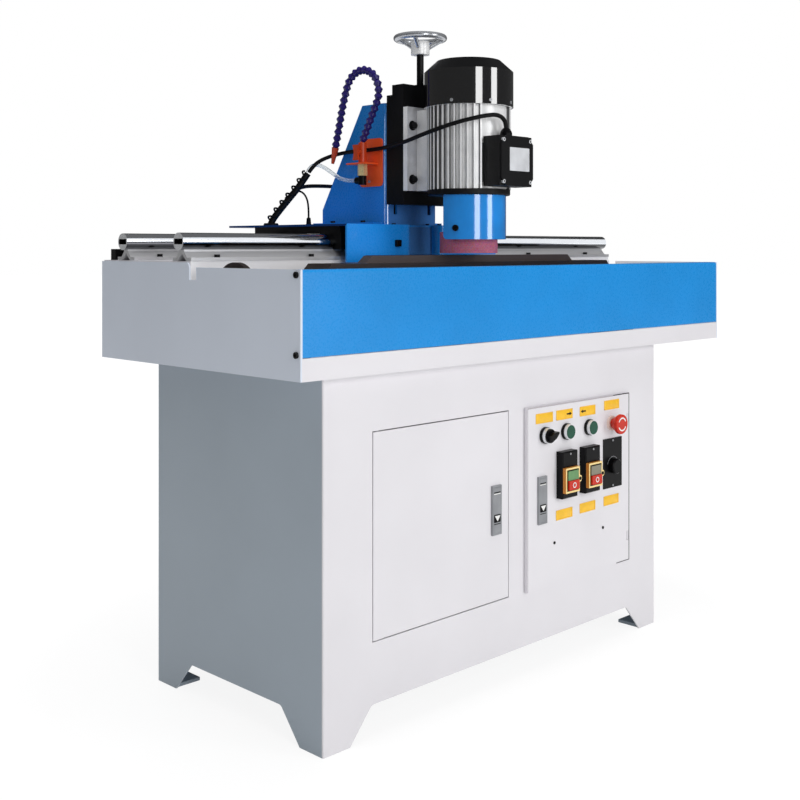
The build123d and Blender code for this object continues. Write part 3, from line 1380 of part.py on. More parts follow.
def terminal_box():
    """Hollow box on the housing's boss, its lid, its cable gland and the lid's screws."""
    half = BOX_WIDTH / 2
    lid_back = BOX_FRONT + LID_DEPTH
    body = block(BOX_X - half, BOX_X + half, lid_back, BOX_BACK, BOX_BOTTOM, BOX_TOP)
    body -= block(BOX_X - half + BOX_WALL, BOX_X + half - BOX_WALL, lid_back,
                  BOX_BACK - BOX_WALL, BOX_BOTTOM + BOX_WALL, BOX_TOP - BOX_WALL)
    lid = block(BOX_X - half, BOX_X + half, BOX_FRONT, lid_back, BOX_BOTTOM, BOX_TOP)
    raised = block(BOX_X - half, BOX_X + half, BOX_FRONT, BOX_FRONT + LID_DEPTH / 2,
                   BOX_BOTTOM, BOX_TOP)
    island = chamfer(raised.edges().filter_by(Axis.Y), LID_CORNER)
    lid -= raised - island
    gland_y = (lid_back + BOX_BACK) / 2
    gland_x = CARRIAGE_X + GLAND_SHIFT
    gland = rod_z(gland_x, gland_y, BOX_TOP, BOX_TOP + GLAND_HEIGHT, GLAND_RADIUS)
    gland -= rod_z(gland_x, gland_y, BOX_TOP, BOX_TOP + GLAND_HEIGHT, MOTOR_CABLE / 2)
    screws = []
    for side in (-1, 1):
        for z in (BOX_BOTTOM + LID_SCREW_INSET, BOX_TOP - LID_SCREW_INSET):
            x = BOX_X + side * (half - LID_SCREW_INSET)
            screws.append(rod_y(x, z, BOX_FRONT + LID_DEPTH / 4, BOX_FRONT + LID_DEPTH / 2, LID_SCREW))
    return solids_of(body, lid, gland, *screws)


def guard():
    """Half-round wheel guard with an inner lip under the motor flange."""
    tube = rod_z(CARRIAGE_X, MOTOR_Y, GUARD_BOTTOM, FLANGE_BOTTOM, GUARD_RADIUS)
    tube -= rod_z(CARRIAGE_X, MOTOR_Y, GUARD_BOTTOM, FLANGE_BOTTOM - GUARD_SHEET, GUARD_RADIUS - GUARD_SHEET)
    tube -= rod_z(CARRIAGE_X, MOTOR_Y, GUARD_BOTTOM, FLANGE_BOTTOM, GUARD_RADIUS - GUARD_LIP)
    reach = 2 * GUARD_RADIUS
    tube -= block(CARRIAGE_X - reach, CARRIAGE_X + reach, MOTOR_Y, MOTOR_Y + reach,
                  GUARD_BOTTOM, FLANGE_BOTTOM)
    corner = block(CARRIAGE_X - reach, CARRIAGE_X + reach, MOTOR_Y - GUARD_ROUND, MOTOR_Y,
                   GUARD_BOTTOM, GUARD_BOTTOM + GUARD_ROUND)
    corner -= rod_x(MOTOR_Y - GUARD_ROUND, GUARD_BOTTOM + GUARD_ROUND,
                    CARRIAGE_X - reach, CARRIAGE_X + reach, GUARD_ROUND)
    return tube - corner


def hex_bolt(x, z, seat, reach):
    """Hexagon bolt that points to the rear."""
    head = Pos(x, seat, z) * Rot(90, 0, 0) * extrude(RegularPolygon(MOTOR_BOLT_RADIUS, 6), MOTOR_BOLT_HEAD)
    return head + rod_y(x, z, seat, seat + reach, MOTOR_BOLT_SHANK)


def head_bolts():
    """Bolts that hold the motor's pad to the saddle."""
    seat = SADDLE_FRONT - PAD_THICKNESS
    return solids_of(*[hex_bolt(x, z, seat, MOTOR_BOLT_REACH) for x, z in motor_bolt_places()])


# Handwheel and feed screw

def handwheel():
    """Feed screw with its collar, and the dished wheel on its top."""
    tail = SLIDE_BOTTOM + SCREW_TAIL
    screw = rod_z(CARRIAGE_X, FEED_Y, tail, STEM_TOP + HUB_HEIGHT, FEED_SCREW / 2)
    screw += rod_z(CARRIAGE_X, FEED_Y, SADDLE_TOP + SLIDING, SADDLE_TOP + FEED_COLLAR_HEIGHT, FEED_COLLAR)
    hub = rod_z(CARRIAGE_X, FEED_Y, STEM_TOP, STEM_TOP + HUB_HEIGHT, HUB_RADIUS)
    wheel = hub + Pos(CARRIAGE_X, FEED_Y, RIM_Z) * Torus(WHEEL_RIM_RADIUS, WHEEL_RIM_TUBE)
    start = Vector(HUB_RADIUS - SPOKE_RADIUS, 0, STEM_TOP + HUB_HEIGHT / 2)
    finish = Vector(WHEEL_RIM_RADIUS, 0, RIM_Z)
    run = finish - start
    spoke = Plane(origin=start, z_dir=run) * Cylinder(
        SPOKE_RADIUS, run.length, align=(Align.CENTER, Align.CENTER, Align.MIN))
    for k in range(SPOKE_COUNT):
        wheel += Pos(CARRIAGE_X, FEED_Y, 0) * Rot(0, 0, 90 + k * 360 / SPOKE_COUNT) * spoke
    wheel -= rod_z(CARRIAGE_X, FEED_Y, STEM_TOP, STEM_TOP + HUB_HEIGHT, FEED_SCREW / 2)
    return solids_of(screw, wheel)


# Spindle

def rotor_shaft():
    """Motor shaft with rotor core, cooling fan, wheel hub and nut."""
    seat = WHEEL_BOTTOM + WHEEL_CUP
    nut_low = seat - WHEEL_RIM / 2
    fan_low = HOUSING_TOP + FAN_LIFT
    shaft = rod_z(CARRIAGE_X, MOTOR_Y, nut_low, fan_low + FAN_HEIGHT, SHAFT_RADIUS)
    top = STATOR_BOTTOM + STATOR_HEIGHT
    core = rod_z(CARRIAGE_X, MOTOR_Y, STATOR_BOTTOM, top, STATOR_BORE - AIR_GAP)
    core -= rod_z(CARRIAGE_X, MOTOR_Y, STATOR_BOTTOM, top, SHAFT_RADIUS)
    fan = rod_z(CARRIAGE_X, MOTOR_Y, fan_low, fan_low + FAN_BLADE, FAN_RADIUS)
    fan += rod_z(CARRIAGE_X, MOTOR_Y, fan_low, fan_low + FAN_HEIGHT, 2 * SHAFT_RADIUS)
    for k in range(FAN_BLADES):
        blade = Box(FAN_RADIUS, FAN_BLADE, FAN_HEIGHT, align=(Align.MIN, Align.CENTER, Align.MIN))
        fan += Pos(CARRIAGE_X, MOTOR_Y, fan_low) * Rot(0, 0, k * 360 / FAN_BLADES) * blade
    fan -= rod_z(CARRIAGE_X, MOTOR_Y, fan_low, fan_low + FAN_HEIGHT, SHAFT_RADIUS)
    hub = rod_z(CARRIAGE_X, MOTOR_Y, WHEEL_TOP, FLANGE_BOTTOM - GUARD_SHEET, HUB_FLANGE_RADIUS)
    hub += rod_z(CARRIAGE_X, MOTOR_Y, seat, WHEEL_TOP, WHEEL_BORE)
    hub -= rod_z(CARRIAGE_X, MOTOR_Y, seat, FLANGE_BOTTOM, SHAFT_RADIUS)
    nut = Pos(CARRIAGE_X, MOTOR_Y, nut_low) * extrude(RegularPolygon(NUT_RADIUS, 6), seat - nut_low)
    nut -= rod_z(CARRIAGE_X, MOTOR_Y, nut_low, seat, SHAFT_RADIUS)
    return solids_of(shaft, core, fan, hub, nut)


def grinding_wheel():
    """Cup wheel, open below."""
    cup = rod_z(CARRIAGE_X, MOTOR_Y, WHEEL_BOTTOM, WHEEL_TOP, WHEEL_RADIUS)
    cup -= rod_z(CARRIAGE_X, MOTOR_Y, WHEEL_BOTTOM, WHEEL_BOTTOM + WHEEL_CUP, WHEEL_RADIUS - WHEEL_RIM)
    return cup - rod_z(CARRIAGE_X, MOTOR_Y, WHEEL_BOTTOM, WHEEL_TOP, WHEEL_BORE)


# Travel drive

def involute(angle):
    return math.tan(angle) - angle


def pinion_flank():
    """Radius and half angle of a tooth, from its root to its tip."""
    pressure = math.radians(TOOTH_ANGLE)
    base = PITCH_RADIUS * math.cos(pressure)
    waist = math.pi / (2 * PINION_TEETH) - BACKLASH / (4 * PITCH_RADIUS)
    root = PITCH_RADIUS - 1.25 * RACK_MODULE
    tip = PITCH_RADIUS + RACK_MODULE
    steps = 4
    flank = [(root, waist + involute(pressure))]
    for k in range(steps + 1):
        radius = base + (tip - base) * k / steps
        flank.append((radius, waist + involute(pressure) - involute(math.acos(min(1, base / radius)))))
    return flank


def drive_pinion():
    """Spur pinion on its shaft, one tooth pointing at the rack."""
    outline = []
    for k in range(PINION_TEETH):
        middle = -math.pi / 2 + k * 2 * math.pi / PINION_TEETH
        rising = [(radius, middle - half) for radius, half in pinion_flank()]
        falling = [(radius, middle + half) for radius, half in reversed(pinion_flank())]
        outline += [(radius * math.cos(a), radius * math.sin(a)) for radius, a in rising + falling]
    gear = Pos(PINION_X, PINION_Y, 0) * prism_z(outline, PINION_Z, PINION_Z + PINION_FACE)
    shaft = rod_z(PINION_X, PINION_Y, PINION_Z, COVER_TOP + GEARBOX_HEIGHT / 2, PINION_SHAFT)
    return gear + shaft


def travel_gearmotor():
    """Upright gear motor on the rear of the cover, with a cable gland on its left."""
    half = GEARBOX_SIDE / 2
    box = block(PINION_X - half, PINION_X + half, PINION_Y - half, PINION_Y + half,
                COVER_TOP, COVER_TOP + GEARBOX_HEIGHT)
    box = fillet(box.edges().filter_by(Axis.Z), half / 5)
    box -= rod_z(PINION_X, PINION_Y, COVER_TOP, COVER_TOP + GEARBOX_HEIGHT / 2 + SLIDING,
                 PINION_SHAFT + RUNNING)
    low = COVER_TOP + GEARBOX_HEIGHT
    drive = rod_z(PINION_X, PINION_Y, low, low + DRIVE_HEIGHT, DRIVE_RADIUS)
    drive = fillet(drive.edges().sort_by(Axis.Z)[-1], DRIVE_RADIUS / 6)
    gland_z = low + DRIVE_GLAND_RISE
    gland = rod_x(PINION_Y, gland_z, PINION_X - DRIVE_RADIUS - DRIVE_GLAND_LENGTH, PINION_X, DRIVE_GLAND)
    return solids_of(box, drive + gland)


# Coolant tap, hose and nozzle

def coolant_tap():
    """Bracket with a folded shelf, tap body, brass nut and elbow."""
    low = COVER_TOP + TAP_BRACKET_RISE
    front = COLUMN_FRONT + COLUMN_BEND + TAP_BRACKET_SETBACK
    plate = block(COLUMN_LEFT - BRACKET_SHEET, COLUMN_LEFT, front, front + TAP_BRACKET_WIDTH,
                  low, low + TAP_BRACKET_HEIGHT)
    plate = fillet(plate.edges().filter_by(Axis.X), TAP_RADIUS)
    rear = front + TAP_BRACKET_WIDTH
    shelf = block(COLUMN_LEFT - SHELF_REACH, COLUMN_LEFT, rear - SHELF_WIDTH, rear,
                  TAP_SHELF_Z, TAP_SHELF_Z + BRACKET_SHEET)
    bracket = plate + shelf
    bracket -= rod_z(TAP_X, TAP_Y, TAP_SHELF_Z, TAP_SHELF_Z + BRACKET_SHEET, TAP_RADIUS - BRACKET_SHEET)
    seat = TAP_SHELF_Z + BRACKET_SHEET
    body = rod_z(TAP_X, TAP_Y, seat, seat + TAP_HEIGHT, TAP_RADIUS)
    body -= lever_bore(FREE)
    brass_low = TAP_SHELF_Z - BRASS_HEIGHT
    brass = Pos(TAP_X, TAP_Y, brass_low) * extrude(RegularPolygon(BRASS_RADIUS, 6), BRASS_HEIGHT)
    elbow = rod_z(TAP_X, TAP_Y, brass_low - ELBOW_HEIGHT, brass_low, ELBOW_RADIUS)
    elbow += rod_y(TAP_X, brass_low - ELBOW_HEIGHT / 2, TAP_Y, TAP_Y + ELBOW_REACH, ELBOW_RADIUS - 1)
    return solids_of(bracket, body, brass, elbow)


def lever_z():
    """Height of the tap lever's axis."""
    return TAP_SHELF_Z + BRACKET_SHEET + TAP_HEIGHT / 2


def lever_bore(clearance):
    """Round stem of the lever, which points to the left of the machine."""
    return rod_x(TAP_Y, lever_z(), TAP_X - TAP_RADIUS - LEVER_STEM_LENGTH, TAP_X, LEVER_STEM + clearance)


def tap_lever():
    """Butterfly lever on the tap's stem."""
    outer = TAP_X - TAP_RADIUS - LEVER_STEM_LENGTH
    half = LEVER_HEIGHT / 2
    z = lever_z()
    wing = [(TAP_Y - TAP_RADIUS, z - half), (TAP_Y + TAP_RADIUS, z - half), (TAP_Y + LEVER_STEM, z),
            (TAP_Y + TAP_RADIUS, z + half), (TAP_Y - TAP_RADIUS, z + half), (TAP_Y - LEVER_STEM, z)]
    stem = rod_x(TAP_Y, z, outer, TAP_X - FREE, LEVER_STEM)
    return prism_x(wing, outer - LEVER_PLATE, outer) + stem


def hose_path():
    """Arch of the segmented hose, from the tap up, over and down behind it."""
    top = TAP_SHELF_Z + BRACKET_SHEET + TAP_HEIGHT
    points = [
        (0, BEAD_NECK / 2), (-HOSE_LEAN, 0.622 * HOSE_RISE), (-0.76 * HOSE_LEAN, 0.878 * HOSE_RISE),
        (0, HOSE_RISE), (0.475 * HOSE_REACH, 0.892 * HOSE_RISE), (0.7 * HOSE_REACH, 0.568 * HOSE_RISE),
        (HOSE_REACH, -0.034 * HOSE_RISE),
    ]
    route = [(TAP_X, TAP_Y + y, top + z) for y, z in points]
    bends = [share * HOSE_RISE for share in (0.243, 0.27, 0.29, 0.28, 0.6)]
    return FilletPolyline(*route, radius=bends)


def hose_bead(location, length):
    """One hose segment: a flared cup on a narrower neck."""
    outline = [(0, 0), (BEAD_NECK, 0), (BEAD_RADIUS, length * 0.55), (BEAD_NECK, length), (0, length)]
    face = make_face(Plane.XZ * Polyline(*outline, close=True))
    return location * revolve(face, Axis.Z, 360)


def hose_nozzle(location):
    """Tapered nozzle at the hose's end."""
    cone = Cone(BEAD_RADIUS - 1, NOZZLE_TIP, NOZZLE_LENGTH, align=(Align.CENTER, Align.CENTER, Align.MIN))
    return location * cone


def coolant_hose():
    """Hose of linked segments with its nozzle."""
    path = hose_path()
    pitch = path.length / BEAD_COUNT
    beads = []
    for k in range(BEAD_COUNT):
        here = k / BEAD_COUNT
        chord = (path @ ((k + 1) / BEAD_COUNT)) - (path @ here)
        spot = Plane(origin=path @ here, z_dir=chord)
        beads.append(hose_bead(spot.location, pitch - BEAD_GAP))
    last = Plane(origin=path @ 1, z_dir=path % 1)
    beads.append(hose_nozzle(last.location))
    return solids_of(*beads)


# Inside the cabinet

def coolant_tank():
    """Open tank on the shelf of the left bay."""
    tank = block(TANK_LEFT, TANK_LEFT + TANK_LENGTH, TANK_FRONT, TANK_FRONT + TANK_DEPTH,
                 SHELF_TOP, SHELF_TOP + TANK_HEIGHT)
    return tank - block(TANK_LEFT + TANK_WALL, TANK_LEFT + TANK_LENGTH - TANK_WALL,
                        TANK_FRONT + TANK_WALL, TANK_FRONT + TANK_DEPTH - TANK_WALL,
                        SHELF_TOP + TANK_WALL, SHELF_TOP + 2 * TANK_HEIGHT)


def coolant_pump():
    """Upright pump on a plate across the tank's right end."""
    rim = SHELF_TOP + TANK_HEIGHT
    right = TANK_LEFT + TANK_LENGTH
    plate = block(right - PUMP_PLATE_LENGTH, right, TANK_FRONT, TANK_FRONT + TANK_DEPTH,
                  rim, rim + PUMP_PLATE)
    x = right - PUMP_PLATE_LENGTH / 2
    y = TANK_FRONT + TANK_DEPTH / 2
    drive = rod_z(x, y, rim + PUMP_PLATE, rim + PUMP_PLATE + PUMP_HEIGHT, PUMP_RADIUS)
    drive = fillet(drive.edges().sort_by(Axis.Z)[-1], PUMP_PLATE)
    stem = rod_z(x, y, rim - PUMP_REACH, rim, PUMP_STEM)
    return plate + drive + stem


def control_gear():
    """Plate on the back wall of the right bay with contactors and a terminal strip."""
    wall = CABINET_BACK - CABINET_SHEET
    face = wall - GEAR_PLATE
    middle = (PARTITION_X + CABINET_RIGHT) / 2
    low = SHELF_TOP + GEAR_PLATE_RISE
    half = GEAR_PLATE_LENGTH / 2
    plate = block(middle - half, middle + half, face, wall, low, low + GEAR_PLATE_HEIGHT)
    pieces = [plate]
    first = middle - (CONTACTOR_COUNT - 1) * CONTACTOR_PITCH / 2
    row = low + GEAR_PLATE_HEIGHT / 2
    for k in range(CONTACTOR_COUNT):
        x = first + k * CONTACTOR_PITCH
        pieces.append(block(x - CONTACTOR_WIDTH / 2, x + CONTACTOR_WIDTH / 2, face - CONTACTOR_DEPTH, face,
                            row, row + CONTACTOR_HEIGHT))
    strip = low + STRIP_HEIGHT
    pieces.append(block(middle - half + STRIP_HEIGHT, middle + half - STRIP_HEIGHT, face - STRIP_DEPTH, face,
                        strip, strip + STRIP_HEIGHT))
    return solids_of(*pieces)


# Cables and the clear tube

BUNDLE_POINTS = [
    (-189, 200, -3.9), (-189, 200, 13.5), (-186, 197.5, 31), (-179.5, 192, 50.5), (-168, 183, 73.5),
    (-153.5, 172.5, 93), (-140, 164.5, 107.5),
]
MOTOR_CABLE_START = [(0, 0, 0), (0, 0, 15.8), (-8.4, 0, 29.3), (-22.9, 1.5, 36)]
MOTOR_CABLE_POINTS = [
    (-47, -252.5, 204.4), (-66, -238, 199), (-80.5, -216, 192), (-89.5, -190, 184.5), (-93.5, -162, 177),
    (-94, -133, 170), (-91, -106, 163.5), (-87, -79, 158), (-83.5, -52, 154), (-81, -25, 150.7),
    (-80.4, 2, 148.9), (-79.2, 29, 148.5), (-78.2, 57, 148.5), (-77, 87, 148.2), (-77, 114, 146.6),
    (-88, 137, 141.5), (-111, 147, 132.5), (-131, 153.7, 119.4), (-142, 159.9, 108),
]
TRAVEL_CABLE_POINTS = [
    (-160.6, 191.7, 65.6), (-145.3, 199.8, 70.5), (-122.5, 205, 80.5), (-93, 206.5, 86.5), (-60, 208, 88),
    (-26, 211, 87.8), (6, 217, 86.8), (36, 228, 85.8), (60, 242, 84.6),
]
TRAVEL_CABLE_END = [(-16, 0, 0), (0, 0, 0)]
SENSOR_WIRE_POINTS = [
    (-166.2, 195.2, 55.7), (-152, 200.5, 59), (-136, 204, 66), (-121, 204, 70.2), (-109.5, 201.2, 65),
    (-103, 197, 53.5), (-100.8, 192, 36), (-100.5, 188.5, 16), (-100.5, 187.5, -3.7),
]
COOLANT_TUBE_START = [(0, 0, 0), (0, 16, 0)]
COOLANT_TUBE_POINTS = [
    (-95.6, 91.8, 92), (-97.5, 107.2, 99), (-100.6, 121.8, 107.5), (-105.5, 136, 115.8),
    (-113.8, 150, 121), (-125.3, 161.6, 117.8), (-137, 168.5, 108),
]


def route(points):
    """Route points counted from the carriage: its middle, the front rail and the cover's top."""
    return [Vector(CARRIAGE_X + x, FRONT_RAIL_Y + y, COVER_TOP + z) for x, y, z in points]


def from_spot(spot, points):
    """Route points counted from one spot."""
    return [Vector(*spot) + Vector(*point) for point in points]


def cord(name, spots, diameter):
    """Round cord along straight runs joined by the largest arcs that fit."""
    radii = []
    for a, b, c in zip(spots, spots[1:], spots[2:]):
        turn = math.radians((b - a).get_angle(c - b))
        radii.append(0.45 * min((b - a).length, (c - b).length) / math.tan(turn / 2))
    path = FilletPolyline(*spots, radius=radii)
    section = Plane(origin=path @ 0, z_dir=path % 0) * Circle(diameter / 2)
    tube = sweep(section, path=path)
    print(name, "length", round(path.length), "radii", [round(radius) for radius in radii],
          "volume ratio", round(tube.volume / (math.pi * diameter ** 2 / 4 * path.length), 4))
    return tube


def cable_bundle():
    """Wrapped bundle that comes up through the cover."""
    return cord("cable_bundle", route(BUNDLE_POINTS), BUNDLE)


def motor_cable():
    """Cable from the terminal box's gland to the bundle."""
    gland = (CARRIAGE_X + GLAND_SHIFT, (BOX_FRONT + LID_DEPTH + BOX_BACK) / 2, BOX_TOP + GLAND_HEIGHT)
    spots = from_spot(gland, MOTOR_CABLE_START) + route(MOTOR_CABLE_POINTS)
    return cord("motor_cable", spots, MOTOR_CABLE)


def travel_cable():
    """Cable from the bundle to the gear motor's gland."""
    gland = (PINION_X - DRIVE_RADIUS - DRIVE_GLAND_LENGTH, PINION_Y,
             COVER_TOP + GEARBOX_HEIGHT + DRIVE_GLAND_RISE)
    spots = route(TRAVEL_CABLE_POINTS) + from_spot(gland, TRAVEL_CABLE_END)
    return cord("travel_cable", spots, TRAVEL_CABLE)


def sensor_wire():
    """Thin wire from the bundle down through the cover."""
    return cord("sensor_wire", route(SENSOR_WIRE_POINTS), SENSOR_WIRE)


def coolant_tube():
    """Clear tube from the tap's elbow to the bundle."""
    outlet = (TAP_X, TAP_Y + ELBOW_REACH, TAP_SHELF_Z - BRASS_HEIGHT - ELBOW_HEIGHT / 2)
    spots = from_spot(outlet, COOLANT_TUBE_START) + route(COOLANT_TUBE_POINTS)
    return cord("coolant_tube", spots, COOLANT_TUBE)


PARTS = {
    "cabinet_front": cabinet_front,
    "cabinet_panels": cabinet_panels,
    "cabinet_shelf": cabinet_shelf,
    "door_hinges": door_hinges,
    "left_door": left_door,
    "left_latch": lambda: latch_paddle(left_latch_x(), latch_low(), CABINET_FRONT),
    "right_door": right_door,
    "right_latch": lambda: latch_paddle(right_latch_x(), latch_low(), RIGHT_DOOR_FACE),
    "control_bezels": control_bezels,
    "control_boxes": control_boxes,
    "switch_frames": switch_frames,
    "selector_knob": selector_knob,
    "travel_left_button": lambda: push_button(1),
    "travel_right_button": lambda: push_button(2),
    "stop_button": stop_button,
    "grind_on_key": lambda: switch_key(1, True),
    "grind_off_key": lambda: switch_key(1, False),
    "pump_on_key": lambda: switch_key(2, True),
    "pump_off_key": lambda: switch_key(2, False),
    "speed_knob": speed_knob,
    "tray_pan": tray_pan,
    "tray_ends": tray_ends,
    "front_cover": front_cover,
    "rail_bed": rail_bed,
    "rail_supports": rail_supports,
    "guide_rails": guide_rails,
    "frame_screws": frame_screws,
    "drive_rack": drive_rack,
    "table_brackets": table_brackets,
    "knife_table": knife_table,
    "clamp_bar": clamp_bar,
    "bearing_blocks": bearing_blocks,
    "carriage_base": carriage_base,
    "carriage_cover": carriage_cover,
    "column": column,
    "slide_base": slide_base,
    "slide_saddle": slide_saddle,
    "motor_housing": motor_housing,
    "motor_stator": motor_stator,
    "motor_flange": motor_flange,
    "fan_cover": fan_cover,
    "terminal_box": terminal_box,
    "guard": guard,
    "head_bolts": head_bolts,
    "handwheel": handwheel,
    "rotor_shaft": rotor_shaft,
    "grinding_wheel": grinding_wheel,
    "drive_pinion": drive_pinion,
    "travel_gearmotor": travel_gearmotor,
    "coolant_tap": coolant_tap,
    "tap_lever": tap_lever,
    "coolant_hose": coolant_hose,
    "coolant_tank": coolant_tank,
    "coolant_pump": coolant_pump,
    "control_gear": control_gear,
    "cable_bundle": cable_bundle,
    "motor_cable": motor_cable,
    "travel_cable": travel_cable,
    "sensor_wire": sensor_wire,
    "coolant_tube": coolant_tube,
}

os.makedirs("parts", exist_ok=True)
for node, make in PARTS.items():
    export_step(make(), f"parts/{node}.step")
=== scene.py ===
"""Knife grinding machine: finishes, cords and small fittings around its solids."""
import json
import math

import bmesh
import bpy
import numpy as np
from bpy.props import FloatProperty, FloatVectorProperty, PointerProperty
from mathutils import Matrix, Vector


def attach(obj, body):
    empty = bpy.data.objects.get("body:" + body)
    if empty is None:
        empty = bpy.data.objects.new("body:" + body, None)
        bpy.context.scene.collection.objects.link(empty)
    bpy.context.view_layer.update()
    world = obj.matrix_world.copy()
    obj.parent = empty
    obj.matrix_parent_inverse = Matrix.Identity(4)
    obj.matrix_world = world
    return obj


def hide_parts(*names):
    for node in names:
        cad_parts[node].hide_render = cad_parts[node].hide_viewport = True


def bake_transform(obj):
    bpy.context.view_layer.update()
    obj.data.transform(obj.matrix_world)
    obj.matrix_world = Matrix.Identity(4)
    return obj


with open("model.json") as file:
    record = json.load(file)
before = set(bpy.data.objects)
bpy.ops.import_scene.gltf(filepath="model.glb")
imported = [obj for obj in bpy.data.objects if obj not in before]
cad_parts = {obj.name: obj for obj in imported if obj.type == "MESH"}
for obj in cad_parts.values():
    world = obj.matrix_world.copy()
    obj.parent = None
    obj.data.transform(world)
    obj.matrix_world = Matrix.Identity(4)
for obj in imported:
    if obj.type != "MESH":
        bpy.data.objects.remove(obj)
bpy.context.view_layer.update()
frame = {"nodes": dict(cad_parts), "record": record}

bl_info = {
    "name": "Knife grinding machine",
    "version": (1, 0, 0),
    "blender": (4, 5, 0),
    "location": "3D View > Sidebar > Grinder",
    "description": "Dresses the solids of a knife grinding machine with finishes, cords and fittings",
    "category": "Object",
}

MM = 0.001
MERGE = 1e-6
BODY_OF = {
    node: body
    for body, nodes in frame["record"]["behaviour"]["bodies"].items()
    for node in nodes
}
UP = (0, 0, 1)
FRONT = (0, -1, 0)
BACK = (0, 1, 0)
LEFT = (-1, 0, 0)
WHITE = (1, 1, 1, 1)


# Settings

def linear(red, green, blue):
    """Screen colour in 0-255 as scene colour."""
    shares = [level / 255 for level in (red, green, blue)]
    return tuple(s / 12.92 if s <= 0.04045 else ((s + 0.055) / 1.055) ** 2.4 for s in shares)


def colour(name, description, red, green, blue):
    """Colour property whose default is a screen colour."""
    return FloatVectorProperty(
        name=name, description=description, subtype="COLOR", size=3, min=0.0, max=1.0,
        default=linear(red, green, blue),
    )


def length(name, description, default):
    """Length property in metres."""
    return FloatProperty(name=name, description=description, default=default, min=0.0, unit="LENGTH")


def amount(name, description, default):
    """Plain number property."""
    return FloatProperty(name=name, description=description, default=default)


class GrinderColours(bpy.types.PropertyGroup):
    """Colours of the machine's paints, metals and plastics."""

    white: colour("White paint", "Cabinet front, doors and tray lip", 228, 226, 230)
    panel: colour("Grey paint", "Cabinet sides and back", 166, 178, 189)
    # Painted shade: a cool, bluish copy of the white paint for the ends of the tray
    tray: colour("Tray paint", "Ends of the tray", 222, 230, 243)
    sky: colour("Light blue paint", "Front cover of the tray", 26, 143, 220)
    blue: colour("Blue paint", "Column and its bends", 30, 132, 216)
    # Painted light: a brighter copy of the blue paint for the carriage cover, making up for the shade it lies
    # in
    apron: colour("Bright blue paint", "Carriage cover", 27, 150, 246)
    guard: colour("Guard paint", "Wheel guard", 28, 147, 236)
    # Painted shade: a slightly darker copy of the white paint for the edges of the right door
    edge: colour("Edge grey", "Edges of the right door", 224, 221, 226)
    # Painted shade: grey strips along the top and left of the right door stand in for the shade on its edges
    bead: colour("Bead grey", "Trim along the top and left of the right door", 178, 172, 177)
    # Painted light: a brighter copy of the white paint for the front of the rail bed and the inside of the
    # tray ends, making up for the shade on them
    bed: colour("Bed white", "Front of the rail bed and inside of the tray ends", 252, 251, 253)
    # Painted light and shade: a greyer copy of the blue paint for the column front and the cover's inner
    # skirt, for how light falls on them
    haze: colour("Shaded blue paint", "Column front and inner skirt of the carriage cover", 72, 134, 206)
    # Painted shade: a deep copy of the blue paint for the underside of the carriage cover, where shade falls
    shade: colour("Deep blue paint", "Underside of the carriage cover", 18, 58, 118)
    black: colour("Black", "Black plastic, paint and oxide", 12, 12, 14)
    cast: colour("Dark casting", "Slide, flange and base plate", 14, 14, 16)
    table: colour("Table steel", "Knife table", 62, 54, 52)
    clamp: colour("Clamp steel", "Clamp bar of the table", 92, 82, 80)
    chrome: colour("Chrome", "Guide rails and handwheel", 190, 193, 198)
    aluminium: colour("Aluminium", "Rail ends, bezels and lid screws", 230, 232, 235)
    fins: colour("Fin metal", "Fins and end faces of the motor housing", 250, 251, 252)
    support: colour("Extruded metal", "Rail supports", 202, 202, 204)
    # Painted shade: a darker copy of the housing's aluminium for the face of its mounting pad
    pad: colour("Pad metal", "Mounting pad of the motor housing", 192, 193, 197)
    latch: colour("Latch grey", "Door latches", 146, 148, 152)
    pale: colour("Pale plate", "Blank plate on the terminal box", 204, 206, 210)
    steel: colour("Steel", "Plain steel fittings", 168, 170, 174)
    brass: colour("Brass", "Nut below the tap", 255, 230, 170)
    orange: colour("Orange", "Tap, its lever and the nozzle", 198, 66, 26)
    # Painted light: a brighter copy of the orange for the coolant bracket, making up for the shade it lies in
    bracket: colour("Bracket orange", "Coolant bracket", 252, 92, 38)
    violet: colour("Violet", "Links of the coolant hose", 44, 34, 104)
    pink: colour("Pink abrasive", "Grinding wheel", 186, 104, 130)
    green: colour("Green", "Push buttons", 13, 76, 56)
    leaf: colour("Light green", "Start key of the wheel", 104, 148, 98)
    olive: colour("Grey green", "Start key of the pump", 136, 133, 116)
    red: colour("Red", "Stop button and stop keys", 200, 42, 22)
    ivory: colour("Ivory", "Collar of the stop button", 232, 208, 196)
    yellow: colour("Yellow", "Plates by the controls", 250, 196, 42)
    # Painted light and shade on the yellow key frames: a darker amber for their sides and a lighter cream for
    # their front rims
    amber: colour("Amber", "Sides of the key frames", 205, 128, 40)
    cream: colour("Cream", "Front rims of the key frames", 250, 222, 150)
    mark: colour("Mark white", "Rings and marks on keys, latches and stop button", 238, 238, 236)
    clear: colour("Clear tube", "Coolant tube", 226, 232, 236)
    copper: colour("Copper", "Windings of the motor", 176, 104, 64)
    tank: colour("Tank plastic", "Coolant tank and terminal strip in the cabinet", 222, 226, 226)


class GrinderSizes(bpy.types.PropertyGroup):
    """Sizes of the fittings that the solids leave to the scene."""

    core: length("Bundle core", "Radius of the cables inside the spiral wrap", 0.0068)
    wrap_radius: length("Wrap radius", "Radius of the spiral wrap round the cables", 0.0080)
    wrap_wire: length("Wrap thickness", "Radius of the wrap's strip", 0.0019)
    wrap_pitch: length("Wrap pitch", "Length of one turn of the spiral wrap", 0.019)
    wrap_slack: length("Wrap slack", "How far the wrap hangs off to one side", 0.0034)
    plate_width: length("Plate width", "Width of a yellow plate", 0.0502)
    plate_height: length("Plate height", "Height of a yellow plate", 0.0185)
    plate_rim: length("Plate rim", "Width of a yellow plate's raised rim", 0.0016)


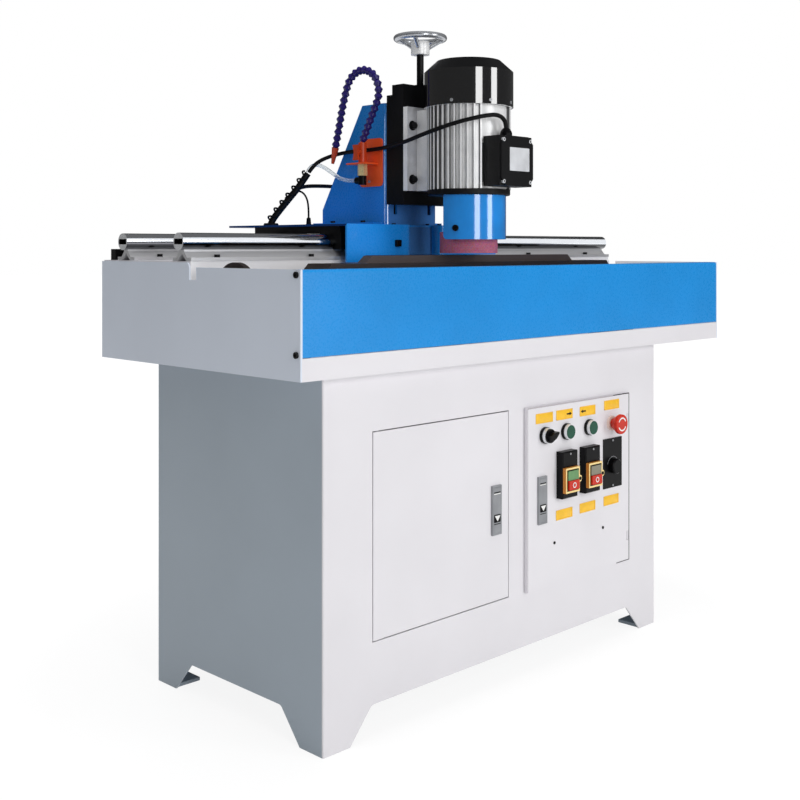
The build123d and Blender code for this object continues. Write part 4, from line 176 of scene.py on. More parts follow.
class GrinderStage(bpy.types.PropertyGroup):
    """Light, surroundings and lens."""

    front_power: amount("Front light", "Watts of each front strip", 24.5)
    top_power: amount("Top light", "Watts of the softbox above", 42.0)
    rear_power: amount("Rear light", "Watts of the fill behind", 26.0)
    rail_power: amount("Rail light", "Watts of the rails' panel", 42.0)
    side_power: amount("Side light", "Watts of the strip on the left", 6.0)
    ambient: amount("Ambient", "Even light from all sides", 0.32)
    walls: amount("Walls", "How bright the walls are in reflections", 0.08)
    ceiling: amount("Ceiling", "Its brightness in reflections", 0.22)
    lens: amount("Lens", "Focal length in millimetres", 51.917)
    drop: amount("Lens drop", "Downward shift of the lens", -0.19207)


# Finishes: each family is how a surface varies, in metres

POWDER = dict(roughness=0.42, mottle=0.025, patch=0.22, grain=0.0022, relief=0.10, spread=0.05)
GLOSS = dict(
    mirror=0.35, roughness=0.28, mottle=0.05, patch=0.16, grain=0.003, relief=0.004, spread=0.02, coat=0.25,
)
DULL_GLOSS = dict(GLOSS, mirror=0.1, coat=0.0)
SATIN = dict(mirror=0.3, roughness=0.36, mottle=0.10, patch=0.03, grain=0.0016, relief=0.12, spread=0.06)
# CAST and GROUND lay a painted highlight on their edges
CAST = dict(
    mirror=0.2, roughness=0.48, mottle=0.16, patch=0.03, grain=0.0018, relief=0.30, spread=0.08, edge_highlight=0.2,
)
LACQUER = dict(
    mirror=0.1, roughness=0.16, mottle=0.08, patch=0.05, grain=0.004, relief=0.02, spread=0.04, coat=1.0,
    glaze=2.4,
)
PLASTIC = dict(roughness=0.34, mottle=0.05, patch=0.012, grain=0.0008, relief=0.08, spread=0.05)
SHINY = dict(
    mirror=0.2, roughness=0.18, mottle=0.04, patch=0.012, grain=0.0015, relief=0.03, spread=0.04, coat=0.1,
)
RUBBER = dict(mirror=0.15, roughness=0.52, mottle=0.14, patch=0.01, grain=0.0007, relief=0.20, spread=0.08)
PLATED = dict(roughness=0.12, metallic=1.0, mottle=0.03, patch=0.05, grain=0.004, relief=0.003, spread=0.02)
DRAWN = dict(
    roughness=0.36, metallic=0.45, mottle=0.05, patch=0.02, grain=0.0012, relief=0.03, spread=0.08,
    stretch=(0.06, 1.0, 1.0),
)
MILLED = dict(roughness=0.32, metallic=0.45, mottle=0.06, patch=0.02, grain=0.001, relief=0.05, spread=0.08)
SPUN = dict(roughness=0.22, metallic=0.7, mottle=0.04, patch=0.03, grain=0.003, relief=0.004, spread=0.02)
GROUND = dict(
    roughness=0.40, metallic=0.55, mottle=0.16, patch=0.05, grain=0.0014, relief=0.16, spread=0.10,
    stretch=(0.08, 1.0, 1.0), edge_highlight=0.45,
)
BONDED = dict(roughness=0.85, mottle=0.10, patch=0.02, grain=0.0012, relief=0.8)
GLASSY = dict(roughness=0.14, mottle=0.04, patch=0.01, grain=0.002, relief=0.04)

FINISHES = {
    "white_powder": ("white", POWDER),
    "grey_powder": ("panel", POWDER),
    "tray_powder": ("tray", POWDER),
    "sky_powder": ("sky", GLOSS),
    "blue_powder": ("blue", GLOSS),
    "haze_powder": ("haze", DULL_GLOSS),
    "shade_powder": ("shade", DULL_GLOSS),
    "apron_powder": ("apron", GLOSS),
    "edge_powder": ("edge", POWDER),
    "bead_powder": ("bead", POWDER),
    "bed_powder": ("bed", POWDER),
    "bend_gloss": ("blue", dict(LACQUER, mirror=1.0, roughness=0.22, glaze=2.2)),
    "guard_gloss": ("guard", dict(LACQUER, mirror=0.4, roughness=0.20, glaze=1.8)),
    "black_powder": ("black", SATIN),
    "black_oxide": ("black", dict(SATIN, roughness=0.40, metallic=0.3)),
    "black_plastic": ("black", dict(PLASTIC, mirror=0.12)),
    "black_lacquer": ("black", LACQUER),
    "black_rubber": ("black", RUBBER),
    "dark_casting": ("cast", CAST),
    "table_steel": ("table", GROUND),
    "clamp_steel": ("clamp", GROUND),
    "rail_chrome": ("chrome", PLATED),
    "spun_chrome": ("chrome", SPUN),
    "drawn_aluminium": ("support", DRAWN),
    "cast_aluminium": ("aluminium", MILLED),
    "finned_aluminium": ("fins", dict(MILLED, metallic=0.12)),
    "end_aluminium": ("fins", dict(MILLED, metallic=0.1)),
    "pad_aluminium": ("pad", dict(MILLED, metallic=0.12, mottle=0.14)),
    "latch_metal": ("latch", dict(SATIN, metallic=0.2)),
    "pale_plate": ("pale", SATIN),
    "bright_steel": ("steel", MILLED),
    "brass_bar": ("brass", MILLED),
    "orange_paint": ("orange", PLASTIC),
    "bracket_paint": ("bracket", PLASTIC),
    "violet_plastic": ("violet", SHINY),
    "pink_abrasive": ("pink", BONDED),
    "green_plastic": ("green", SHINY),
    "leaf_plastic": ("leaf", SHINY),
    "olive_plastic": ("olive", SHINY),
    "red_plastic": ("red", SHINY),
    "stop_cap": ("red", SHINY),
    "ivory_plastic": ("ivory", PLASTIC),
    "yellow_plate": ("yellow", PLASTIC),
    "amber_plastic": ("amber", PLASTIC),
    "cream_plastic": ("cream", PLASTIC),
    "mark_print": ("mark", PLASTIC),
    "clear_tube": ("clear", GLASSY),
    "copper_wire": ("copper", MILLED),
    "tank_plastic": ("tank", PLASTIC),
}
# Painted highlight on edges: how wide the edges are and how much lighter
EDGE_HIGHLIGHT_RADIUS = 0.0016
EDGE_HIGHLIGHT_SHARE = 2.6
GRAIN_SCALE = 900.0
# Painted shade: the colour laid where shade falls, with its stops on the motor's fins and the rails
DEEP_SHADE = (0.03, 0.03, 0.033, 1.0)
MOTOR_AXIS = (0.023, -0.096, 0)
FIN_SHADE = ((0.070, 0.0), (0.0722, 0.0), (0.0734, 0.92), (0.0782, 0.92), (0.0792, 0.0), (0.082, 0.0))
RAIL_SHADE = ((0.780, 0.5), (0.786, 0.8), (0.790, 0.88), (0.7925, 0.0), (0.810, 0.0))
STOP_CENTRE = (0.291, 0, 0.436)
STOP_MARK_RADIUS = 12.2
STOP_MARK_HALF_WIDTH = 1.3
STOP_MARK_GAP = 0.07


def feed(tree, node, inputs):
    """Gives a node's inputs a value each, or a link where the value is a socket."""
    for key, value in inputs.items():
        if isinstance(value, bpy.types.NodeSocket):
            tree.links.new(value, node.inputs[key])
        else:
            node.inputs[key].default_value = value
    return node


def add_node(tree, kind, inputs=None, **settings):
    """Adds a node with its settings and inputs."""
    made = tree.nodes.new(kind)
    for key, value in settings.items():
        setattr(made, key, value)
    return feed(tree, made, inputs or {})


def reckon(tree, operation, *values, **settings):
    """Result of a sum on values and sockets."""
    made = add_node(tree, "ShaderNodeMath", dict(enumerate(values)), operation=operation, **settings)
    return made.outputs["Value"]


def object_place(tree, stretch=(1.0, 1.0, 1.0), centre=(0.0, 0.0, 0.0)):
    """Place on the object, moved to a centre and stretched."""
    mapping = add_node(tree, "ShaderNodeMapping", {
        "Vector": add_node(tree, "ShaderNodeTexCoord").outputs["Object"],
        "Location": tuple(-c * s for c, s in zip(centre, stretch)),
        "Scale": stretch,
    })
    return mapping.outputs["Vector"]


def distance(tree, place):
    """How far a place is from its centre."""
    return add_node(tree, "ShaderNodeVectorMath", {0: place}, operation="LENGTH").outputs["Value"]


def noise(tree, place, size, detail):
    """Noise whose features are about one size across."""
    made = add_node(tree, "ShaderNodeTexNoise", {"Vector": place, "Scale": 1.0 / size, "Detail": detail})
    return made.outputs["Fac"]


def spread_out(tree, value, low, high, to_low=0.0, to_high=1.0):
    """Value taken from one range to another."""
    made = add_node(tree, "ShaderNodeMapRange", {
        "Value": value, "From Min": low, "From Max": high, "To Min": to_low, "To Max": to_high,
    })
    return made.outputs["Result"]


def ranged(tree, grit, low, high):
    """Noise spread over a range."""
    return spread_out(tree, grit, 0.3, 0.7, low, high)


def ramp(tree, value, stops):
    """Colour that follows a value: the stops are positions and colours."""
    made = add_node(tree, "ShaderNodeValToRGB", {"Fac": value})
    marks = made.color_ramp.elements
    for position, _ in stops[1:-1]:
        marks.new(position)
    for mark, (position, tint) in zip(marks, stops):
        mark.position = position
        mark.color = (*tint, 1.0)
    return made.outputs["Color"]


def toned(tint, share):
    """Colour made lighter or darker by a share."""
    return tuple(min(1.0, max(0.0, level * share)) for level in tint)


def lay(made, tint, share, **settings):
    """Lays a colour over a finish's own colour by a share."""
    tree = made.node_tree
    base = tree.nodes["Principled BSDF"].inputs["Base Color"]
    inputs = {"Factor": share, "A": base.links[0].from_socket, "B": tint}
    mixed = add_node(tree, "ShaderNodeMix", inputs, data_type="RGBA", **settings)
    tree.links.new(mixed.outputs["Result"], base)


def painted_edge_highlights(tree, edge_highlight, grit):
    """Share of painted highlight: the edges, broken up by a grit noise."""
    normals = (
        add_node(tree, "ShaderNodeBevel", {"Radius": EDGE_HIGHLIGHT_RADIUS}),
        add_node(tree, "ShaderNodeNewGeometry"),
    )
    inputs = {k: normal.outputs["Normal"] for k, normal in enumerate(normals)}
    likeness = add_node(tree, "ShaderNodeVectorMath", inputs, operation="DOT_PRODUCT")
    edge = spread_out(tree, likeness.outputs["Value"], 0.98, 0.80, to_high=edge_highlight)
    return reckon(tree, "MULTIPLY", edge, ranged(tree, grit, 0.2, 1.0))


def surface(name, tint, roughness, metallic=0.0, mottle=0.05, patch=0.1, grain=0.002, relief=0.1,
            spread=0.05, stretch=(1.0, 1.0, 1.0), coat=0.0, edge_highlight=0.0, mirror=0.5, glaze=1.5):
    """Finish whose colour drifts in patches and whose gloss and surface follow a fine grain."""
    made = bpy.data.materials.new(name)
    made.use_nodes = True
    tree = made.node_tree
    place = object_place(tree, stretch)
    broad = noise(tree, place, patch, 3.0)
    fine = noise(tree, place, grain, 2.0)
    bump = add_node(tree, "ShaderNodeBump", {"Height": fine, "Strength": relief, "Distance": 0.1 * grain})
    feed(tree, tree.nodes["Principled BSDF"], {
        "Base Color": ramp(tree, broad, ((0.32, toned(tint, 1 - mottle)), (0.68, toned(tint, 1 + mottle)))),
        "Roughness": ranged(tree, fine, roughness - spread, roughness + spread),
        "Metallic": metallic,
        "Specular IOR Level": mirror,
        "Coat Weight": coat,
        "Coat Roughness": 0.05,
        "Coat IOR": glaze,
        "Normal": bump.outputs["Normal"],
    })
    # Painted highlight: a lighter copy of the colour laid on the edges
    if edge_highlight:
        lay(made, (*toned(tint, EDGE_HIGHLIGHT_SHARE), 1.0), painted_edge_highlights(tree, edge_highlight, broad))
    return made


def show_grains(made):
    """Bonded grains, light and dark."""
    tree = made.node_tree
    grains = add_node(tree, "ShaderNodeTexVoronoi", {"Vector": object_place(tree), "Scale": GRAIN_SCALE})
    lay(made, grains.outputs["Color"], 0.55, blend_type="SOFT_LIGHT")


def paint_shade(made, stretch, centre, stops):
    """Painted shade by the distance from a centre: the stops are metres and how dark."""
    low, high = stops[0][0], stops[-1][0]
    tree = made.node_tree
    depth = spread_out(tree, distance(tree, object_place(tree, stretch, centre)), low, high)
    marks = [((reach - low) / (high - low), (dark,) * 3) for reach, dark in stops]
    lay(made, DEEP_SHADE, ramp(tree, depth, marks))


def paint_shade_on_fins(made):
    """Painted shade on the flanks between the tips and the roots of the motor's fins."""
    paint_shade(made, (1, 1, 0), MOTOR_AXIS, FIN_SHADE)


def paint_shade_under_rails(made):
    """Painted shade and painted dark reflection on the undersides of the chrome rails."""
    paint_shade(made, (0, 0, 1), (0, 0, 0), RAIL_SHADE)


def let_light_through(made):
    """Clear, slightly hazed."""
    tree = made.node_tree
    feed(tree, tree.nodes["Principled BSDF"], {"Transmission Weight": 0.75, "IOR": 1.35})


def mark_stop_cap(made):
    """Two white turning marks on the face of the mushroom cap, measured in millimetres."""
    tree = made.node_tree
    place = object_place(tree, (1 / MM, 0, 1 / MM), STOP_CENTRE)
    ring = reckon(tree, "COMPARE", distance(tree, place), STOP_MARK_RADIUS, STOP_MARK_HALF_WIDTH)
    flat = add_node(tree, "ShaderNodeMapping", {"Vector": place, "Rotation": (-math.pi / 2, 0, 0)})
    turn = add_node(tree, "ShaderNodeTexGradient", {"Vector": flat.outputs["Vector"]}, gradient_type="RADIAL")
    halves = reckon(tree, "PINGPONG", turn.outputs["Fac"], 0.25)
    shown = reckon(tree, "MULTIPLY", ring, reckon(tree, "GREATER_THAN", halves, STOP_MARK_GAP))
    lay(made, (*bpy.context.scene.grinder_colours.mark, 1.0), shown)


EXTRAS = {
    "pink_abrasive": show_grains,
    "finned_aluminium": paint_shade_on_fins,
    "rail_chrome": paint_shade_under_rails,
    "clear_tube": let_light_through,
    "stop_cap": mark_stop_cap,
}


def finish(name):
    """The named finish, made the first time it is asked for."""
    made = bpy.data.materials.get(name)
    if made is None:
        tint, family = FINISHES[name]
        made = surface(name, getattr(bpy.context.scene.grinder_colours, tint), **family)
        if name in EXTRAS:
            EXTRAS[name](made)
    return made


# Mesh helpers

def facing(centre, normal=FRONT, up=UP):
    """Placement at a point in millimetres whose z axis is the normal and whose y axis is up."""
    z_axis = Vector(normal)
    y_axis = Vector(up)
    turn = Matrix((y_axis.cross(z_axis), y_axis, z_axis)).transposed().to_4x4()
    return Matrix.Translation(Vector(centre) * MM) @ turn @ Matrix.Scale(MM, 4)


def rounded(width, height, radius, steps=4):
    """Outline of a rectangle with round corners about the origin."""
    outline = []
    for quarter, (side_x, side_y) in enumerate(((1, 1), (-1, 1), (-1, -1), (1, -1))):
        for step in range(steps + 1):
            angle = math.pi / 2 * (quarter + step / steps)
            outline.append((
                side_x * (width / 2 - radius) + radius * math.cos(angle),
                side_y * (height / 2 - radius) + radius * math.sin(angle),
            ))
    return outline


def shifted(outline, across, along):
    """Outline moved in its own plane."""
    return [(u + across, v + along) for u, v in outline]


def arrow(reach, width, way):
    """Outline of an arrow about the origin that points to +x, or to -x where the way is -1."""
    neck = reach * 0.05
    outline = [
        (-reach / 2, -width / 5), (neck, -width / 5), (neck, -width / 2), (reach / 2, 0),
        (neck, width / 2), (neck, width / 5), (-reach / 2, width / 5),
    ]
    return [(way * u, v) for u, v in outline]


def arc_band(inner, outer, start, end, steps=16):
    """Outline of a band between two radii from one angle to another, in degrees."""
    angles = [math.radians(start + (end - start) * step / steps) for step in range(steps + 1)]
    outside = [(outer * math.cos(a), outer * math.sin(a)) for a in angles]
    inside = [(inner * math.cos(a), inner * math.sin(a)) for a in reversed(angles)]
    return outside + inside


def skin(bm, rows, ring=False):
    """Faces from loop to loop of points, closed by two end faces or into a ring; gives the last face."""
    pairs = list(zip(rows, rows[1:]))
    lid = None
    if ring:
        pairs.append((rows[-1], rows[0]))
    else:
        bm.faces.new(list(reversed(rows[0])))
        lid = bm.faces.new(rows[-1])
    for low, high in pairs:
        for k in range(len(low)):
            after = (k + 1) % len(low)
            bm.faces.new((low[k], low[after], high[after], high[k]))
    return lid


def slab(bm, outline, low, high, place, bevel=0.0):
    """Raises an outline from low to high along a placement's z axis, with its far edge bevelled."""
    rows = [[bm.verts.new(place @ Vector((u, v, level))) for u, v in outline] for level in (low, high)]
    lid = skin(bm, rows)
    if bevel:
        bmesh.ops.bevel(bm, geom=list(lid.edges), offset=bevel * MM, segments=2, affect="EDGES", profile=0.5)


def lathe(bm, profile, place, sides=32, ring=False):
    """Spins (radius, height) points about a placement's z axis, as a capped stack or a closed ring."""
    angles = [2 * math.pi * k / sides for k in range(sides)]
    skin(bm, [
        [bm.verts.new(place @ Vector((r * math.cos(a), r * math.sin(a), h))) for a in angles]
        for r, h in profile
    ], ring)


def tube(bm, line, radius, sides=12):
    """Sweeps a round section along a line of points, with its ends closed."""
    rows = []
    side = None
    for k, point in enumerate(line):
        along = (line[min(k + 1, len(line) - 1)] - line[max(k - 1, 0)]).normalized()
        if side is None:
            side = along.orthogonal().normalized()
        side = (side - along * side.dot(along)).normalized()
        other = along.cross(side)
        rows.append([
            bm.verts.new(point + radius * (math.cos(a) * side + math.sin(a) * other))
            for a in (2 * math.pi * j / sides for j in range(sides))
        ])
    skin(bm, rows)


def link(name, data):
    """Puts new data into the scene as an object."""
    made = bpy.data.objects.new(name, data)
    bpy.context.scene.collection.objects.link(made)
    return made


def smooth(mesh, angle=32):
    """Smooth shading with sharp edges past an angle in degrees."""
    mesh.shade_smooth()
    mesh.set_sharp_from_angle(angle=math.radians(angle))


def meshed(name, bm, *materials, angle=32):
    """Turns a built mesh into smooth mesh data with its materials."""
    mesh = bpy.data.meshes.new(name)
    bm.to_mesh(mesh)
    bm.free()
    smooth(mesh, angle)
    for material in materials:
        mesh.materials.append(material)
    return mesh


def piece(name, bm, kind, node):
    """Turns a built mesh into a piece of a finish that rides with a node."""
    bmesh.ops.remove_doubles(bm, verts=bm.verts, dist=MERGE)
    bmesh.ops.recalc_face_normals(bm, faces=bm.faces)
    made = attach(link(name, meshed(name, bm, finish(kind))), BODY_OF[node])
    return made


def slabs(name, kind, node, plates):
    """Piece made of slabs: each plate is an outline, two levels, a placement and perhaps a bevel."""
    bm = bmesh.new()
    for plate in plates:
        slab(bm, *plate)
    piece(name, bm, kind, node)


def rings(name, kind, node, profile, places, sides=32):
    """Piece made of equal rings."""
    bm = bmesh.new()
    for place in places:
        lathe(bm, profile, place, sides, ring=True)
    piece(name, bm, kind, node)


def dress(kind, *nodes):
    """Gives nodes one finish."""
    for node in nodes:
        mesh = frame["nodes"][node].data
        mesh.materials.clear()
        mesh.materials.append(finish(kind))


def joined_faces(bm):
    """Groups of faces that hang together."""
    waiting = set(bm.faces)
    while waiting:
        group = []
        front = [waiting.pop()]
        while front:
            face = front.pop()
            group.append(face)
            for edge in face.edges:
                for beside in edge.link_faces:
                    if beside in waiting:
                        waiting.remove(beside)
                        front.append(beside)
        yield group


def split(node, shares, by_face=True):
    """Copies a node into pieces: a share is a name, a finish and a test of a face's or solid's middle.

    The last share has no test and takes what is left.
    """
    bm = bmesh.new()
    bm.from_mesh(frame["nodes"][node].data)
    if not by_face:
        bmesh.ops.remove_doubles(bm, verts=bm.verts, dist=MERGE)
    groups = {name: [] for name, *_ in shares}
    for group in ([face] for face in bm.faces) if by_face else joined_faces(bm):
        points = np.array([corner.co for face in group for corner in face.verts]) / MM
        middle = (points.min(axis=0) + points.max(axis=0)) / 2
        owner = next(name for name, _, *test in shares if not test or test[0](*middle))
        groups[owner].extend(group)
    for name, kind, *_ in shares:
        if not groups[name]:
            raise ValueError(f"{node} has no solid for {name}")
        copy = bmesh.new()
        for face in groups[name]:
            copy.faces.new([copy.verts.new(corner.co) for corner in face.verts])
        bmesh.ops.remove_doubles(copy, verts=copy.verts, dist=MERGE)
        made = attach(link(name, meshed(name, copy, finish(kind))), BODY_OF[node])
        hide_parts(node)
    bm.free()


# Screws: one node tree sets a screw on every marked point

SCREW_TREE = "screws_on_points"
SCREW_SHAPE = "screw_head_shape"
SCREW_OUTLINE = ((0.50, 0.45), (0.50, 1.0), (0.86, 1.0), (1.0, 0.86), (1.0, -0.05))
SCREW_SOCKETS = (
    ("Points", "INPUT", "NodeSocketGeometry"),
    ("Screw", "INPUT", "NodeSocketObject"),
    ("Radius", "INPUT", "NodeSocketFloat"),
    ("Height", "INPUT", "NodeSocketFloat"),
    ("Finish", "INPUT", "NodeSocketMaterial"),
    ("Screws", "OUTPUT", "NodeSocketGeometry"),
)


def screw_shape():
    """Socket screw head of unit radius, with a recess."""
    bm = bmesh.new()
    lathe(bm, SCREW_OUTLINE, Matrix.Identity(4), sides=12)
    bmesh.ops.recalc_face_normals(bm, faces=bm.faces)
    return bpy.data.objects.new(SCREW_SHAPE, meshed(SCREW_SHAPE, bm))


def screw_tree():
    """Node tree that turns points with a facing into screw heads."""
    tree = bpy.data.node_groups.new(SCREW_TREE, "GeometryNodeTree")
    for name, way, kind in SCREW_SOCKETS:
        tree.interface.new_socket(name, in_out=way, socket_type=kind)
    given = add_node(tree, "NodeGroupInput").outputs
    shape = add_node(tree, "GeometryNodeObjectInfo", {"Object": given["Screw"]})
    normal = add_node(
        tree, "GeometryNodeInputNamedAttribute", {"Name": "facing"}, data_type="FLOAT_VECTOR",
    )
    turn = add_node(
        tree, "FunctionNodeAlignRotationToVector", {"Vector": normal.outputs["Attribute"]}, axis="Z",
    )
    size = add_node(tree, "ShaderNodeCombineXYZ", {
        "X": given["Radius"], "Y": given["Radius"], "Z": given["Height"],
    })
    place = add_node(tree, "GeometryNodeInstanceOnPoints", {
        "Points": given["Points"],
        "Instance": shape.outputs["Geometry"],
        "Rotation": turn.outputs["Rotation"],
        "Scale": size.outputs["Vector"],
    })
    real = add_node(tree, "GeometryNodeRealizeInstances", {"Geometry": place.outputs["Instances"]})
    painted = add_node(tree, "GeometryNodeSetMaterial", {
        "Geometry": real.outputs["Geometry"], "Material": given["Finish"],
    })
    add_node(tree, "NodeGroupOutput", {"Screws": painted.outputs["Geometry"]})
    return tree


def screws(name, spots, radius, height, kind, node):
    """Screw heads that ride with a node: spots are (point in millimetres, facing)."""
    tree = bpy.data.node_groups.get(SCREW_TREE) or screw_tree()
    shape = bpy.data.objects.get(SCREW_SHAPE) or screw_shape()
    material = finish(kind)
    points = bpy.data.meshes.new(name + "_spots")
    points.from_pydata([tuple(c * MM for c in spot) for spot, _ in spots], [], [])
    normals = points.attributes.new("facing", "FLOAT_VECTOR", "POINT")
    normals.data.foreach_set("vector", [c for _, normal in spots for c in normal])
    carrier = link(name + "_carrier", points)
    modifier = carrier.modifiers.new("screws", "NODES")
    modifier.node_group = tree
    values = {"Screw": shape, "Radius": radius * MM, "Height": height * MM, "Finish": material}
    for socket in tree.interface.items_tree:
        if socket.name in values:
            modifier[socket.identifier] = values[socket.name]
    graph = bpy.context.evaluated_depsgraph_get()
    mesh = bpy.data.meshes.new_from_object(carrier.evaluated_get(graph))
    bpy.data.objects.remove(carrier)
    mesh.name = name
    if not mesh.polygons:
        raise ValueError(f"{name} came out empty")
    smooth(mesh)
    mesh.materials.clear()
    mesh.materials.append(material)
    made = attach(link(name, mesh), BODY_OF[node])


# Cords: routes in metres, from the end where each one leaves the machine

BUNDLE_ROUTE = (
    (-0.168, 0.2705, 0.8251), (-0.165, 0.2683, 0.8385), (-0.1505, 0.2578, 0.8618),
    (-0.136, 0.2473, 0.884), (-0.125, 0.2393, 0.9003), (-0.1145, 0.2316, 0.9186),
    (-0.106, 0.2256, 0.9343),
)
MOTOR_ROUTE = (
    (0.025, -0.187, 1.0015), (0.025, -0.187, 1.0125), (0.018, -0.187, 1.0235),
    (0.0021, -0.1855, 1.0295), (-0.0235, -0.1835, 1.0265), (-0.0425, -0.169, 1.0215),
    (-0.057, -0.147, 1.0155), (-0.066, -0.121, 1.009), (-0.07, -0.093, 1.0025),
    (-0.071, -0.064, 0.9962), (-0.068, -0.037, 0.9908), (-0.064, -0.01, 0.9862),
    (-0.0605, 0.017, 0.983), (-0.058, 0.044, 0.9797), (-0.0574, 0.071, 0.9779),
    (-0.0562, 0.098, 0.9775), (-0.0552, 0.126, 0.9775), (-0.054, 0.156, 0.9772),
    (-0.054, 0.183, 0.9756), (-0.0645, 0.205, 0.9703), (-0.084, 0.2132, 0.961),
    (-0.097, 0.2186, 0.95), (-0.105, 0.2232, 0.937),
)
TRAVEL_ROUTE = (
    (-0.131, 0.2475, 0.8936), (-0.1175, 0.2595, 0.8975), (-0.0985, 0.269, 0.9055),
    (-0.07, 0.274, 0.9118), (-0.037, 0.2768, 0.9136), (-0.003, 0.28, 0.9142),
    (0.029, 0.286, 0.9144), (0.059, 0.297, 0.9142), (0.083, 0.311, 0.9136),
    (0.101, 0.3175, 0.913), (0.117, 0.3175, 0.913),
)
SENSOR_ROUTE = (
    (-0.1395, 0.2555, 0.8845), (-0.1245, 0.2635, 0.89), (-0.108, 0.2685, 0.8978),
    (-0.0925, 0.2693, 0.9015), (-0.0815, 0.2668, 0.8965), (-0.0755, 0.2628, 0.8835),
    (-0.0752, 0.2595, 0.865), (-0.077, 0.2572, 0.845), (-0.0775, 0.2565, 0.8253),
)
COOLANT_ROUTE = (
    (-0.0715, 0.117, 0.917), (-0.0715, 0.133, 0.917), (-0.0726, 0.1608, 0.9215),
    (-0.0745, 0.1762, 0.9295), (-0.077, 0.1908, 0.9385), (-0.0805, 0.205, 0.9475),
    (-0.0875, 0.218, 0.9535), (-0.097, 0.2275, 0.9495), (-0.1035, 0.229, 0.9375),
)
MOTOR_LEAD_DIAMETER = 0.008
WRAP_SIDE = Vector((-1, 0.2, 0))


def spline_curve(name, route):
    """Curve of one smooth spline with a route's points as its control points."""
    curve = bpy.data.curves.new(name, "CURVE")
    curve.dimensions = "3D"
    spline = curve.splines.new("NURBS")
    spline.points.add(len(route) - 1)
    for point, place in zip(spline.points, route):
        point.co = (*place, 1.0)
    spline.order_u = 3
    spline.use_endpoint_u = True
    spline.resolution_u = 8
    return curve


def spline_line(route):
    """Points along a route's smooth spline."""
    carrier = link("route_line", spline_curve("route_line", route))
    graph = bpy.context.evaluated_depsgraph_get()
    mesh = bpy.data.meshes.new_from_object(carrier.evaluated_get(graph))
    line = [v.co.copy() for v in mesh.vertices]
    curve = carrier.data
    bpy.data.objects.remove(carrier)
    bpy.data.curves.remove(curve)
    bpy.data.meshes.remove(mesh)
    return line


def curve_cord(name, node, route, diameter, kind):
    """Cord made as a bevelled curve that rides on the carriage in place of its solid."""
    curve = spline_curve(name, route)
    curve.bevel_depth = diameter / 2
    curve.bevel_resolution = 4
    curve.use_fill_caps = True
    curve.materials.append(finish(kind))
    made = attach(link(name, curve), "carriage")
    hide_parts(node)
    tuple(route[0])


def helix(line, radius, pitch, slack, slack_side, steps=18):
    """Points of a wrap round a line, hanging off to one side."""
    lengths = [0.0]
    for a, b in zip(line, line[1:]):
        lengths.append(lengths[-1] + (b - a).length)
    count = int(lengths[-1] / pitch * steps)
    places = []
    for k in range(count + 1):
        along = lengths[-1] * k / count
        here = max(j for j in range(len(line) - 1) if lengths[j] <= along + 1e-9)
        share = (along - lengths[here]) / (lengths[here + 1] - lengths[here])
        centre = line[here].lerp(line[here + 1], min(share, 1.0))
        direction = (line[here + 1] - line[here]).normalized()
        side = (slack_side - direction * slack_side.dot(direction)).normalized()
        other = direction.cross(side)
        angle = 2 * math.pi * along / pitch
        places.append(centre + side * (slack + radius * math.cos(angle)) + other * radius * math.sin(angle))
    return places


class GRINDER_OT_cords(bpy.types.Operator):
    """Cable bundle with its spiral wrap, motor cable, travel cable, sensor wire and coolant tube"""

    bl_idname = "grinder.cords"
    bl_label = "Cords"

    def execute(self, context):
        sizes = context.scene.grinder_sizes
        bundle_line = spline_line(BUNDLE_ROUTE)
        bm = bmesh.new()
        tube(bm, bundle_line, sizes.core)
        wrap = helix(bundle_line, sizes.wrap_radius, sizes.wrap_pitch, sizes.wrap_slack, WRAP_SIDE)
        tube(bm, wrap, sizes.wrap_wire, sides=8)
        bundle = piece("wrapped_bundle", bm, "black_rubber", "cable_bundle")
        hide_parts("cable_bundle")
        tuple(BUNDLE_ROUTE[0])
        motor_line = spline_line(MOTOR_ROUTE)
        bm = bmesh.new()
        tube(bm, motor_line, MOTOR_LEAD_DIAMETER / 2)
        bmesh.ops.recalc_face_normals(bm, faces=bm.faces)
        lead = link("motor_lead", meshed("motor_lead", bm, finish("black_rubber"), angle=60))
        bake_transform(lead)
        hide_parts("motor_cable")
        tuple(MOTOR_ROUTE[0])
        curve_cord("travel_lead", "travel_cable", TRAVEL_ROUTE, 0.008, "black_rubber")
        curve_cord("sensor_lead", "sensor_wire", SENSOR_ROUTE, 0.004, "black_rubber")
        curve_cord("clear_coolant_tube", "coolant_tube", COOLANT_ROUTE, 0.008, "clear_tube")
        return {"FINISHED"}


# Stage: places in metres

